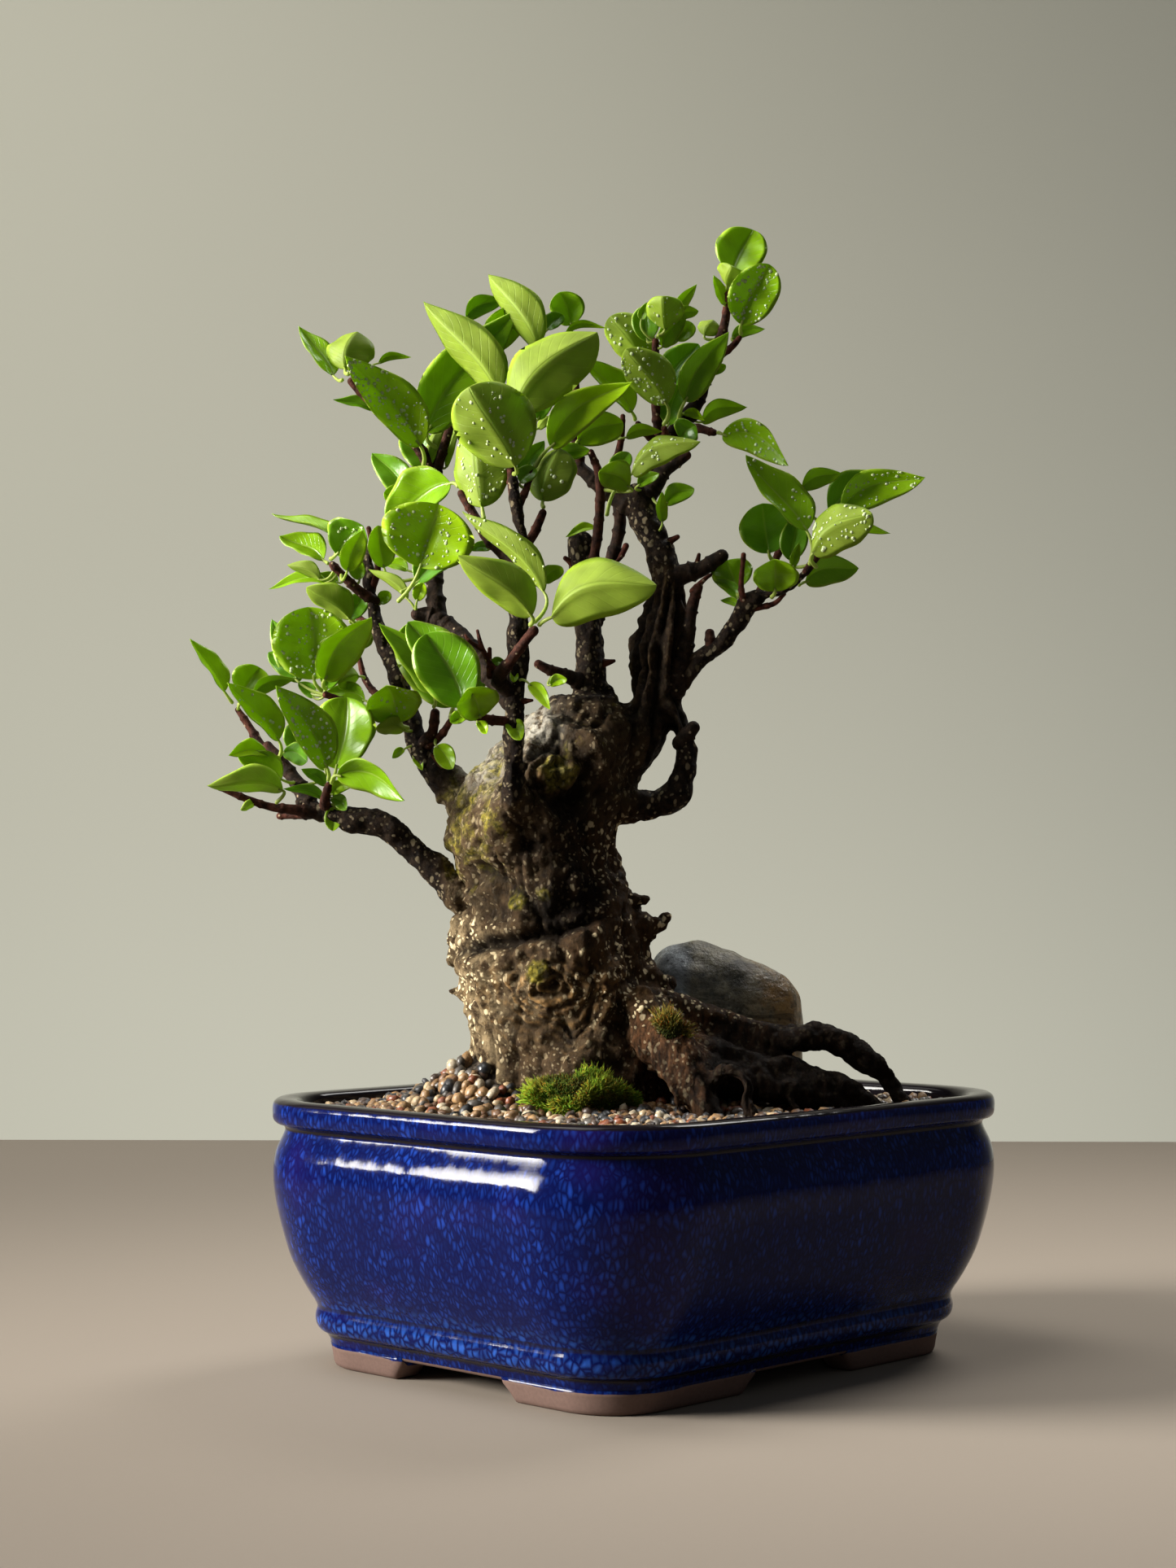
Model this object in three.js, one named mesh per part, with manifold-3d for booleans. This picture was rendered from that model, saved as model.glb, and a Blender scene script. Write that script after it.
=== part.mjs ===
// A small ficus bonsai in a glazed, rounded-rectangular stoneware pot.
// Millimetres, +Z up. The pot's long sides face -Y and +Y. The origin is on the surface that the
// pot stands on, under the middle of the whole object's outer box.
import * as THREE from 'three';
import { mergeVertices } from 'three/addons/utils/BufferGeometryUtils.js';
import Module from 'manifold-3d';

const wasm = await Module();
wasm.setup();

// ---- Driving dimensions ------------------------------------------------------------------------

const POT_LENGTH = 206;        // over the lip, along X
const POT_WIDTH = 175;         // over the lip, along Y
const POT_HEIGHT = 85;         // table to the top of the lip
const POT_CORNER = 40;         // outer corner radius at the lip
const LIP_WIDTH = 9.5;         // flat top of the rim, from outside to inside
const LIP_DEPTH = 8;           // height of the rim's own band
const WALL = 8;                // body wall
const FLOOR = 8;               // thickness of the pot's floor
const FOOT_HEIGHT = 6;         // clear height under the floor
const FOOT_WALL = 11;          // how thick a bracket foot is
const FOOT_CUT = 54;           // length of the opening between two feet, along the table
const FOOT_SLOPE = 5;          // how far each end of that opening leans in
const BASE_INSET = 20;         // how far the feet stand in from the lip
const DRAIN_DIAMETER = 20;
const DRAIN_FROM_END = 32;     // from the foot of the end wall inside to a drain hole's middle
const SCREEN_SIZE = 32;        // the mesh squares over the drain holes
const SCREEN_THICKNESS = 1.5;
const SCREEN_HOLE = 5;
const SCREEN_PITCH = 9;
const GAP = 0.4;               // clearance between pieces that lie against each other

const GRAVEL_DEPTH = 6;        // dressing on top of the soil
const GRAVEL_BELOW_LIP = 4;    // how far the dressing stays below the lip
const MOUND_HEIGHT = 19;       // gravel heaped against the left of the trunk
const MOUND_SPREAD = 21;
const SWELL_HEIGHT = 6;        // the gentle rise round the whole trunk
const SWELL_SPREAD = 42;

const PLANT_TURN = THREE.MathUtils.degToRad(-47.2);   // the tree's best side faces the pot's corner
const EYE_DISTANCE = 855;      // the front drawing is seen from this far
const EYE_HEIGHT = 152;        // and from this high
const DRAWN_POT = { length: 206, width: 175, height: 85 };   // the pot on the plant's drawing

const LEAF_THICKNESS = 1.2;
const PETIOLE_RADIUS = 0.7;

// ---- Colours -----------------------------------------------------------------------------------

const finish = (color, roughness, metalness = 0) =>
  new THREE.MeshStandardMaterial({ color, roughness, metalness });

const GLAZE = finish(0x14206b, 0.15);
const EARTH = finish(0x3a2c1f, 0.95);
const GRAVEL = finish(0x9c7f5d, 0.75);
const ROCK = finish(0x7d7762, 0.6);
const MOSS = finish(0x6f9a1f, 0.95);
const PLASTIC_MESH = finish(0x202020, 0.6);
const BARK = finish(0x4a3a2a, 0.9);
const FOLIAGE = finish(0x6f9f1e, 0.5);

// ---- Building blocks ---------------------------------------------------------------------------

const mean = (ring) => ring.reduce((sum, p) => sum.add(p), new THREE.Vector3())
  .divideScalar(ring.length);

// A closed skin over a row of rings with equal point counts. Each ring runs anticlockwise about
// the direction of travel, and each end closes in a fan to its own point.
function closedLoft(rings, startPoint = mean(rings[0]), endPoint = mean(rings[rings.length - 1])) {
  const sides = rings[0].length;
  const last = (rings.length - 1) * sides;
  const points = [...rings.flat(), startPoint, endPoint];
  const start = points.length - 2;
  const end = points.length - 1;
  const index = [];
  for (let i = 0; i < sides; i += 1) {
    const next = (i + 1) % sides;
    for (let row = 0; row < last; row += sides) {
      index.push(row + i, row + next, row + sides + next);
      index.push(row + i, row + sides + next, row + sides + i);
    }
    index.push(start, next, i);
    index.push(end, last + i, last + next);
  }
  const geometry = new THREE.BufferGeometry().setFromPoints(points);
  geometry.setIndex(index);
  return geometry;
}

// A three.js geometry as a manifold solid, and back again.
function toSolid(source) {
  const geometry = source.clone();
  geometry.deleteAttribute('normal');
  geometry.deleteAttribute('uv');
  const merged = mergeVertices(geometry, 1e-4);
  return new wasm.Manifold(new wasm.Mesh({
    numProp: 3,
    vertProperties: new Float32Array(merged.attributes.position.array),
    triVerts: new Uint32Array(merged.index.array),
  }));
}

function toGeometry(solid) {
  const mesh = solid.getMesh();
  const geometry = new THREE.BufferGeometry();
  geometry.setAttribute('position', new THREE.BufferAttribute(mesh.vertProperties, 3));
  geometry.setIndex(new THREE.BufferAttribute(mesh.triVerts, 1));
  return geometry;
}

const joined = (solids) => solids.reduce((whole, solid) => whole.add(solid));

// The main body of a cut piece, without the crumbs that a cut leaves beside it.
const mainBody = (solid) => solid.decompose()
  .reduce((largest, part) => (part.volume() > largest.volume() ? part : largest));

const model = new THREE.Group();

function addPiece(name, geometry, material) {
  geometry.computeVertexNormals();
  const mesh = new THREE.Mesh(geometry, material);
  mesh.name = name;
  model.add(mesh);
}

// ---- Pot ---------------------------------------------------------------------------------------

const CORNER_STEPS = 4;
const MIN_CORNER = 4;

// The pot's outline drawn in from the lip by an even inset, at one height.
function potRing(inset, z) {
  const halfX = POT_LENGTH / 2 - inset;
  const halfY = POT_WIDTH / 2 - inset;
  const radius = Math.max(POT_CORNER - inset, MIN_CORNER);
  const ring = [];
  for (let corner = 0; corner < 4; corner += 1) {
    const centreX = (halfX - radius) * (corner === 0 || corner === 3 ? 1 : -1);
    const centreY = (halfY - radius) * (corner < 2 ? 1 : -1);
    for (let step = 0; step <= CORNER_STEPS; step += 1) {
      const angle = (corner + step / CORNER_STEPS) * Math.PI / 2;
      ring.push(new THREE.Vector3(
        centreX + radius * Math.cos(angle), centreY + radius * Math.sin(angle), z));
    }
  }
  return ring;
}

// Outer profile of the body as [inset from the lip, height as a share of the body's height].
const BODY_TOP = POT_HEIGHT - LIP_DEPTH;
const BODY_PROFILE = [
  [BASE_INSET - 1, 0.0], [17.2, 0.06], [14.4, 0.1], [14.4, 0.18], [10.2, 0.28],
  [6.4, 0.38], [3.0, 0.55], [0.3, 0.77], [0.8, 0.88], [3.0, 0.96], [3.0, 1.0],
];

const bodyHeight = (share) => FOOT_HEIGHT + share * (BODY_TOP - FOOT_HEIGHT);

function bodyInset(share) {
  const upper = Math.max(BODY_PROFILE.findIndex(([, height]) => height >= share), 1);
  const [insetBelow, below] = BODY_PROFILE[upper - 1];
  const [insetAbove, above] = BODY_PROFILE[upper];
  return THREE.MathUtils.lerp(insetBelow, insetAbove, (share - below) / (above - below));
}

// The inside wall from the neck under the rim down to the floor, as [inset, height].
const FLOOR_TOP = FOOT_HEIGHT + FLOOR;
const innerInset = (share) => Math.max(bodyInset(share) + WALL, LIP_WIDTH);
const NECK_INSET = innerInset(0.96);
const FLOOR_CORNER = 6;        // how far the inside wall curves in as it meets the floor
const CAVITY_PROFILE = [
  [NECK_INSET, bodyHeight(0.96)],
  [innerInset(0.66), bodyHeight(0.66)],
  [innerInset(0.38), bodyHeight(0.38)],
  [innerInset(0.22), Math.max(bodyHeight(0.22), FLOOR_TOP + 2)],
  [innerInset(0.18) + FLOOR_CORNER, FLOOR_TOP],
];

function makePot() {
  const outer = BODY_PROFILE.map(([inset, share]) => potRing(inset, bodyHeight(share)));
  const rim = [
    potRing(0.4, BODY_TOP + 1.2), potRing(0, BODY_TOP + 2.5),
    potRing(0, POT_HEIGHT - 1.5), potRing(1.5, POT_HEIGHT),
    potRing(LIP_WIDTH - 1.5, POT_HEIGHT), potRing(LIP_WIDTH, POT_HEIGHT - 1.5),
    potRing(LIP_WIDTH, BODY_TOP),
  ];
  const inner = CAVITY_PROFILE.map(([inset, z]) => potRing(inset, z));
  const body = toSolid(closedLoft([...outer, ...rim, ...inner]));
  return toGeometry(body.add(makeFeet()).subtract(makeDrains()));
}

// Four bracket feet: one ring under the wall, cut away in the middle of each side.
function makeFeet() {
  const top = FOOT_HEIGHT + 2;
  const outside = [potRing(BASE_INSET, 0), potRing(BASE_INSET - 0.6, top)];
  const hollow = [
    potRing(BASE_INSET + FOOT_WALL, -1), potRing(BASE_INSET + FOOT_WALL, top + 1),
  ];
  let feet = toSolid(closedLoft(outside)).subtract(toSolid(closedLoft(hollow)));
  const reach = Math.max(POT_LENGTH, POT_WIDTH);
  const half = FOOT_CUT / 2;
  const opening = new THREE.Shape();
  opening.moveTo(-half, -1);
  opening.lineTo(half, -1);
  opening.lineTo(half - FOOT_SLOPE, FOOT_HEIGHT);
  opening.lineTo(FOOT_SLOPE - half, FOOT_HEIGHT);
  opening.closePath();
  const cutter = new THREE.ExtrudeGeometry(opening, { depth: reach, bevelEnabled: false });
  cutter.translate(0, 0, -reach / 2);
  cutter.rotateX(Math.PI / 2);
  feet = feet.subtract(toSolid(cutter));
  cutter.rotateZ(Math.PI / 2);
  return feet.subtract(toSolid(cutter));
}

const DRAIN_X = POT_LENGTH / 2 - CAVITY_PROFILE[CAVITY_PROFILE.length - 1][0] - DRAIN_FROM_END;

function makeDrains() {
  const drill = (x) => {
    const height = 3 * FLOOR_TOP;
    const hole = new THREE.CylinderGeometry(DRAIN_DIAMETER / 2, DRAIN_DIAMETER / 2, height, 20);
    hole.rotateX(Math.PI / 2);
    hole.translate(x, 0, 0);
    return toSolid(hole);
  };
  return drill(-DRAIN_X).add(drill(DRAIN_X));
}

// A square of plastic mesh that keeps the soil from running out of a drain hole.
function makeScreen(x) {
  const block = (size, height, at) => {
    const box = new THREE.BoxGeometry(size, size, height);
    box.translate(at.x, at.y, at.z);
    return toSolid(box);
  };
  const middle = new THREE.Vector3(x, 0, FLOOR_TOP + GAP + SCREEN_THICKNESS / 2);
  const count = Math.floor((SCREEN_SIZE - SCREEN_HOLE) / SCREEN_PITCH);
  const holes = [];
  for (let row = 0; row < count; row += 1) {
    for (let column = 0; column < count; column += 1) {
      const offset = new THREE.Vector3(column - (count - 1) / 2, row - (count - 1) / 2, 0);
      const at = middle.clone().addScaledVector(offset, SCREEN_PITCH);
      holes.push(block(SCREEN_HOLE, 2 * SCREEN_THICKNESS, at));
    }
  }
  return toGeometry(block(SCREEN_SIZE, SCREEN_THICKNESS, middle).subtract(joined(holes)));
}

// ---- Where things are on the plant -------------------------------------------------------------

// Points on the plant are given as [across, back, up] on a drawing of its front: across and up
// are where the point lines up on the plane through the pot's middle, as seen from the eye, and
// back is how far it lies behind that plane. A pot of another height lifts the whole plant.
function onPlant(across, back, up) {
  const spread = 1 + back / EYE_DISTANCE;
  const rise = POT_HEIGHT - DRAWN_POT.height;
  const point = new THREE.Vector3(
    across * spread, back, EYE_HEIGHT + (up - EYE_HEIGHT) * spread + rise);
  return point.applyAxisAngle(new THREE.Vector3(0, 0, 1), PLANT_TURN);
}

const TOWARDS_EYE = new THREE.Vector3(0, -1, 0)
  .applyAxisAngle(new THREE.Vector3(0, 0, 1), PLANT_TURN);

const THICK_LIMB = 5;          // limbs that start with a larger radius get a finer skin

// A tapering limb with a round section through stations [across, back, up, radius].
function makeLimb(stations, sides = 7, grow = 0) {
  const curve = new THREE.CatmullRomCurve3(
    stations.map(([across, back, up]) => onPlant(across, back, up)), false, 'centripetal');
  const steps = (stations[0][3] > THICK_LIMB ? 2 : 1) * (stations.length - 1);
  let normal = new THREE.Vector3(0.3, 0.5, 0.8);
  const rings = [];
  for (let step = 0; step <= steps; step += 1) {
    const t = step / steps;
    const centre = curve.getPoint(t);
    const tangent = curve.getTangent(t);
    normal = normal.clone().addScaledVector(tangent, -normal.dot(tangent)).normalize();
    const side = tangent.clone().cross(normal);
    const place = t * (stations.length - 1);
    const before = Math.min(Math.floor(place), stations.length - 2);
    const radius = grow + THREE.MathUtils.lerp(
      stations[before][3], stations[before + 1][3], place - before);
    if (step === 0) centre.addScaledVector(tangent, -grow);
    if (step === steps) centre.addScaledVector(tangent, grow);
    const ring = [];
    for (let i = 0; i < sides; i += 1) {
      const angle = i / sides * 2 * Math.PI;
      ring.push(centre.clone()
        .addScaledVector(normal, radius * Math.cos(angle))
        .addScaledVector(side, radius * Math.sin(angle)));
    }
    rings.push(ring);
  }
  return toSolid(closedLoft(rings));
}

// ---- Tree --------------------------------------------------------------------------------------

// Trunk sections: [across, back, up, half width across, half width front to back].
const TRUNK = [
  [-19, 0, 62, 34, 28], [-19, 0, 78, 38, 31], [-20, -1, 92, 37, 31], [-24, -2, 105, 32, 29],
  [-25, -3, 118, 33, 28], [-27, -4, 128, 34, 29], [-28, -4, 139, 32, 28],
  [-28, -4, 150, 29, 26], [-32, -4, 160, 28, 26], [-35, -4, 170, 29, 27],
  [-35, -4, 180, 29, 27], [-31, -3, 190, 27, 25], [-25, -2, 200, 24, 23],
  [-20, 0, 209, 19, 18], [-18, 0, 216, 12, 12],
];
const TRUNK_SIDES = 14;
const TRUNK_LOBE = 0.05;       // three shallow lobes that wind up the trunk
const LOBE_TWIST = 0.03;       // radians per millimetre

function makeTrunk(grow = 0) {
  const rings = TRUNK.map(([across, back, up, halfAcross, halfBack]) => {
    const ring = [];
    for (let i = 0; i < TRUNK_SIDES; i += 1) {
      const angle = i / TRUNK_SIDES * 2 * Math.PI;
      const lobe = 1 - TRUNK_LOBE + TRUNK_LOBE * Math.cos(3 * angle + LOBE_TWIST * up);
      ring.push(onPlant(
        across + (halfAcross * lobe + grow) * Math.cos(angle),
        back + (halfBack * lobe + grow) * Math.sin(angle),
        up - (up === TRUNK[0][2] ? grow : 0)));
    }
    return ring;
  });
  return toSolid(closedLoft(rings));
}

// Roots, as stations [across, back, up, radius]. They run from the trunk into the soil.
const ROOTS = [
  [[-44, 0, 108, 12], [-55, 0, 97, 9], [-64, 0, 85, 7], [-70, 0, 70, 4]],
  [[-20, -18, 108, 12], [-22, -31, 96, 9], [-24, -40, 84, 7], [-26, -46, 70, 4]],
  [[-25, 18, 108, 12], [-28, 34, 95, 9], [-32, 46, 82, 6], [-34, 54, 68, 4]],
  [[0, -18, 112, 10], [10, -28, 102, 8], [17, -34, 91, 7], [22, -40, 79, 6], [26, -44, 66, 4]],
  [[4, -10, 112, 9], [20, -12, 110, 6.5], [36, -14, 106, 5], [50, -15, 104, 4.6],
    [61, -13, 104, 4.4], [69, -11, 100, 4], [75, -9, 95, 3.5], [82, -8, 89, 3],
    [88, -7, 80, 2.6], [91, -7, 70, 2]],
  [[2, -14, 104, 9], [22, -21, 99, 6], [38, -24, 94, 5], [54, -22, 90, 4.6], [67, -19, 87, 4],
    [77, -16, 80, 3.4], [82, -14, 70, 3]],
  [[0, 18, 110, 9], [8, 34, 98, 6], [14, 46, 85, 5], [18, 52, 70, 4]],
];
const LOOP_ROOT = [
  [23, -30, 83, 2.4], [25.5, -37, 88, 2.2], [28, -41, 92.5, 2], [32, -43, 92.5, 2],
  [35, -44, 88, 2], [34, -46, 83, 2], [36, -47, 77, 1.8], [38, -47, 68, 1.6],
];

// Limbs above the roots, in the order in which they leave the trunk.
const LOW_LEFT = [
  [[-45, 0, 143, 6], [-57, -1, 149, 5], [-66, -2, 157, 4.2], [-76, -3, 166.5, 4],
    [-85, -4, 173.5, 4], [-95, -4, 175, 3.8], [-104, -3, 177, 3.4], [-110, -2, 180, 3]],
  [[-105, -3, 177, 2.4], [-113, -6, 178, 1.8], [-121, -8, 179, 1.4], [-130, -10, 182, 1.2],
    [-138, -12, 185.5, 1]],
  [[-108, -2, 179, 3], [-112, 0, 186, 2.5], [-117, 2, 193, 2], [-122, 4, 199, 1.7]],
  [[-118, 3, 194, 1.7], [-124, 7, 199, 1.6], [-128, 9, 205, 1.4], [-132, 10, 211, 1]],
  [[-103, -3, 178, 2.2], [-103, -7, 182, 1.6], [-102, -9, 186, 1.2]],
  [[-108, -1, 177, 2], [-113, 2, 176.5, 1.5], [-118, 4, 176, 1.2]],
];
const MID_LEFT = [
  [[-46, 5, 180, 8], [-60, 8, 186, 6], [-67, 10, 192, 4.6], [-72, 11, 199, 4.2],
    [-75, 12, 208, 3.2], [-79, 13, 220, 2.8], [-83, 14, 231, 2.6], [-86.5, 15, 242, 2.5],
    [-88.5, 16, 252, 2.3], [-89, 16, 264, 2.2]],
  [[-76, 12, 209, 2], [-84, 8, 210, 1.5], [-92, 5, 212, 1.3], [-103, 2, 216, 1]],
  [[-78, 13, 214, 1.6], [-86, 18, 216, 1.3], [-90, 21, 221, 1.1], [-92, 23, 228, 0.9]],
  [[-87, 15, 247, 2], [-93, 12, 251, 1.6], [-98, 10, 256, 1.4], [-101, 9, 259, 1.2]],
  [[-85, 15, 238, 1.5], [-91, 19, 240.5, 1.2], [-97, 22, 247, 0.9]],
  [[-88, 16, 250, 1.4], [-86, 13, 258, 1.1], [-89, 12, 271, 0.8]],
  [[-72, 10, 199, 2.4], [-68, 6, 203, 1.9], [-67, 4, 210, 1.5]],
  [[-70, 9, 199, 1.8], [-65, 5, 202.5, 1.4], [-62, 1, 207, 1.1]],
];
const FRONT = [
  [[-45, -16, 170, 8], [-42, -30, 178, 5.5], [-41, -36, 190, 3.6], [-41, -38, 205, 3.4],
    [-40.5, -38, 216, 3.2], [-39.5, -38, 230, 2.6], [-39.5, -37, 244, 2.5],
    [-38, -36, 256, 2.3], [-38, -35, 266, 2.3], [-40, -34, 276, 2.2], [-41, -34, 287, 1.9]],
  [[-38, -36, 256, 2.1], [-44, -32, 262, 2], [-50, -29, 268, 1.8], [-54, -27, 275, 1.5],
    [-58.5, -26, 282.5, 1.3]],
  [[-38.5, -35, 264, 1.9], [-35, -31, 268, 1.6], [-31.5, -29, 276, 1.3]],
  [[-41, -38, 216, 2.4], [-46, -42, 221, 2.4], [-42, -47, 227, 1.7], [-37, -51, 234, 1.5],
    [-34.5, -52, 237, 1.4]],
  [[-41, -38, 207, 1.7], [-48, -42, 207.5, 1.5], [-55, -45, 209, 1.2]],
  [[-40, -34, 277, 1.5], [-37, -29, 284, 1.2], [-35, -27, 290, 1]],
  [[-41, -34, 282, 1.6], [-42.5, -30, 294, 1.4], [-42, -28, 304, 1.1]],
  [[-42, -29, 300, 1.2], [-38, -21, 314, 1.1], [-35, -18, 326, 0.9]],
];
const UPPER_LEFT = [
  [[-42, -36, 214, 3.4], [-48, -33, 222, 3.4], [-55, -28, 231, 3.6], [-62, -22, 238, 3.9],
    [-70, -20, 243, 4.2], [-77, -24, 243, 4.6]],
  [[-66, -20, 241, 3.2], [-67, -17, 250, 2.8], [-67, -13, 262, 2.5], [-68, -8, 276, 2.2],
    [-67, -4, 289, 2], [-63, -2, 302, 1.7], [-60, 0, 313, 1.5], [-56, 2, 323, 1.2]],
  [[-67.5, -5, 286, 1.9], [-72, -8, 297, 1.8], [-79, -12, 304.5, 1.7], [-87, -14, 311.5, 1.6],
    [-95, -16, 320, 1.3]],
];
const CENTRE = [
  [[-17, 0, 200, 9], [-16, 0, 222, 5.6], [-17, 0, 240, 5], [-18.5, 0, 254, 4.5],
    [-19.3, 0, 266, 4.2]],
  [[-17, -2, 219, 3], [-24, -6, 222, 2.2], [-29, -8, 224, 1.7], [-33, -9, 226, 1.3]],
  [[-12, 0, 205, 5], [-9.5, -1, 211, 3.6], [-9.3, -1, 217, 2.6]],
  [[-14, 3, 240, 2.6], [-11, 8, 254, 2.2], [-8, 10, 263, 2.1], [-6, 12, 273, 2.1],
    [-7, 14, 282, 1.8]],
  [[-17, -2, 246, 1.9], [-15, -6, 258, 1.7], [-13.5, -8, 268, 1.7], [-12.5, -9, 280, 1.6],
    [-13, -10, 289, 1.4], [-15.5, -10, 296, 1.2]],
];
const RIGHT = [
  [[-6, 2, 190, 12], [3, 4, 203, 10], [7, 5, 218, 10], [7.5, 5, 230, 9.5], [9.5, 5, 242, 7.5],
    [10, 5, 252, 6.2], [7, 6, 263, 5.4], [3, 7, 272, 5.6], [0, 8, 281, 5]],
  [[-1, 8, 278, 4.4], [-9, 9, 283, 3.4], [-16, 10, 288, 2.6], [-20, 11, 292, 1.8]],
  [[3, 7, 282, 3.4], [9, 5, 290, 2.6], [16, 3, 295, 1.6]],
  [[1, 9, 279, 3.8], [5, 12, 291, 3], [9, 13, 299, 2.8], [14, 13, 304, 2.8],
    [19, 12, 312, 2.6], [22, 12, 320, 2.3], [26, 12, 330, 2.2], [28.7, 12, 339, 1.5],
    [29.5, 12, 350, 0.9]],
  [[-19, 11, 290, 1.8], [-21, 10, 305, 1.5], [-20.5, 9, 318, 1.3], [-22, 8, 334, 0.9]],
  [[27, 12, 328, 1.4], [31, 10, 331, 1.1], [33.5, 9, 334, 0.9]],
  [[8, 13, 298, 2], [6, 8, 310, 1.6], [6, 6, 323, 1.4], [5.7, 5, 333, 1.2]],
  [[12, 13, 303, 2], [19, 9, 304, 1.6], [25, 6, 302.5, 1.2]],
  [[7, 12, 299, 1.6], [3, 7, 302, 1.3], [0, 5, 305.5, 1]],
  [[8, 12, 298, 1.7], [9, 4, 301, 1.4], [8.7, 0, 304, 1]],
  [[-10, 9, 284, 1.7], [-7, 6, 294, 1.3], [-5.5, 5, 301, 1.1], [-5, 5, 308, 0.9]],
  [[10, 5, 254, 4.6], [17, 3, 256, 3.2], [22, 2, 258, 2.7], [27.5, 1, 261.5, 2.4]],
  [[12, 3, 218, 4], [16, 1, 234, 2.6], [17.5, 0, 244, 2], [20, 0, 251.5, 1.4]],
  [[-14, -2, 182, 8], [-2, -2, 180.5, 6], [6, -2, 181, 5.4], [12, -2, 185, 5],
    [14, -1, 194, 4.6], [14, 0, 203, 4.4], [11, 2, 212, 5]],
  [[14, -1, 200, 3], [18, -2, 205, 2.2]],
];
const FAR_RIGHT = [
  [[8, 4, 212, 6], [14, 3, 222, 4.6], [20, 1, 228, 3.6], [27, -1, 232.5, 3.2],
    [32, -2, 239, 3], [36.5, -3, 246, 2.8], [42, -5, 248.5, 1.8], [50, -8, 252, 1.6],
    [56.5, -10, 257, 1.4]],
  [[24, 0, 231, 1.9], [23.5, 0, 236, 1.6]],
  [[36, -3, 244, 1.7], [34, -5, 250, 1], [34.7, -6, 262, 0.8]],
  [[38, -3, 246, 1.5], [42, 3, 254, 1.3], [46, 6, 262, 1.2], [49, 7, 269, 1]],
  [[55, -9.5, 256, 1.3], [60, -6, 263, 1.1], [64, -4, 270, 0.9]],
];

// What grows towards the rim keeps its distance from it in a smaller pot.
const ROOT_ROOM = Math.min(POT_LENGTH / DRAWN_POT.length, POT_WIDTH / DRAWN_POT.width, 1);
const withinPot = ([across, back, ...rest]) => [across * ROOT_ROOM, back * ROOT_ROOM, ...rest];

// Everything that goes down through the gravel, made larger by grow to cut its own clearance.
function makeRootwork(grow) {
  return joined([
    makeTrunk(grow),
    ...ROOTS.map((stations) => makeLimb(stations.map(withinPot), 6, grow)),
    makeLimb(LOOP_ROOT.map(withinPot), 5, grow),
  ]);
}

function makeTree() {
  const limbs = [...LOW_LEFT, ...MID_LEFT, ...FRONT, ...UPPER_LEFT, ...CENTRE, ...RIGHT, ...FAR_RIGHT];
  const sides = (radius) => (radius > 3.5 ? 7 : radius > 2 ? 5 : 4);
  const branches = limbs.map((stations) => makeLimb(stations, sides(stations[0][3])));
  return joined([makeRootwork(0), ...branches]);
}

// ---- Soil, gravel, stone and moss --------------------------------------------------------------

const GRAVEL_LEVEL = POT_HEIGHT - GRAVEL_BELOW_LIP;
const MOUND_AT = onPlant(-48, -2, EYE_HEIGHT);
const SWELL_AT = onPlant(-14, 0, EYE_HEIGHT);

function gravelTop(x, y) {
  const mound = ((x - MOUND_AT.x) ** 2 + (y - MOUND_AT.y) ** 2) / MOUND_SPREAD ** 2;
  const swell = ((x - SWELL_AT.x) ** 2 + (y - SWELL_AT.y) ** 2) / SWELL_SPREAD ** 2;
  return GRAVEL_LEVEL + MOUND_HEIGHT * Math.exp(-mound) + SWELL_HEIGHT * Math.exp(-swell);
}

const soilTop = (x, y) => gravelTop(x, y) - GRAVEL_DEPTH;

// Both layers end in the same outline, clear of the wall at its narrowest under the rim.
const FILL_EDGE = potRing(NECK_INSET + GAP, 0);

const shrunk = (ring, share, height) =>
  ring.map((p) => new THREE.Vector3(p.x * share, p.y * share, height(p.x * share, p.y * share)));

const SURFACE_STEPS = [0.86, 0.68, 0.5, 0.32, 0.14];

function makeSoil() {
  const walls = CAVITY_PROFILE.slice(1).reverse()
    .map(([inset, z]) => potRing(inset + GAP, z === FLOOR_TOP ? z + GAP : z));
  const surface = [1, ...SURFACE_STEPS].map((share) => shrunk(FILL_EDGE, share, soilTop));
  const centre = new THREE.Vector3(0, 0, soilTop(0, 0));
  const solid = toSolid(closedLoft([...walls, ...surface], mean(walls[0]), centre));
  const screenRoom = joined([-1, 1].map((side) => {
    const size = SCREEN_SIZE + 2 * GAP;
    const box = new THREE.BoxGeometry(size, size, 2 * (SCREEN_THICKNESS + 2 * GAP));
    box.translate(side * DRAIN_X, 0, FLOOR_TOP);
    return toSolid(box);
  }));
  return solid.subtract(screenRoom);
}

// The dressing is whatever lies between its own surface and the soil.
function makeGravel(bed) {
  const surface = [1, ...SURFACE_STEPS].map((share) => shrunk(FILL_EDGE, share, gravelTop));
  const below = shrunk(FILL_EDGE, 1, () => GRAVEL_LEVEL - GRAVEL_DEPTH - 1);
  const centre = new THREE.Vector3(0, 0, gravelTop(0, 0));
  const block = toSolid(closedLoft([below, ...surface], mean(below), centre));
  return block.subtract(bed.translate([0, 0, GAP]));
}

// A river stone, as an egg squashed by a power of its own height: flatter on top than a ball.
const STONE_AT = withinPot([29, 12, 104]);
const STONE_HALF = [25, 17, 31];
const STONE_LEAN = -0.33;      // its top slopes down to the right

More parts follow.
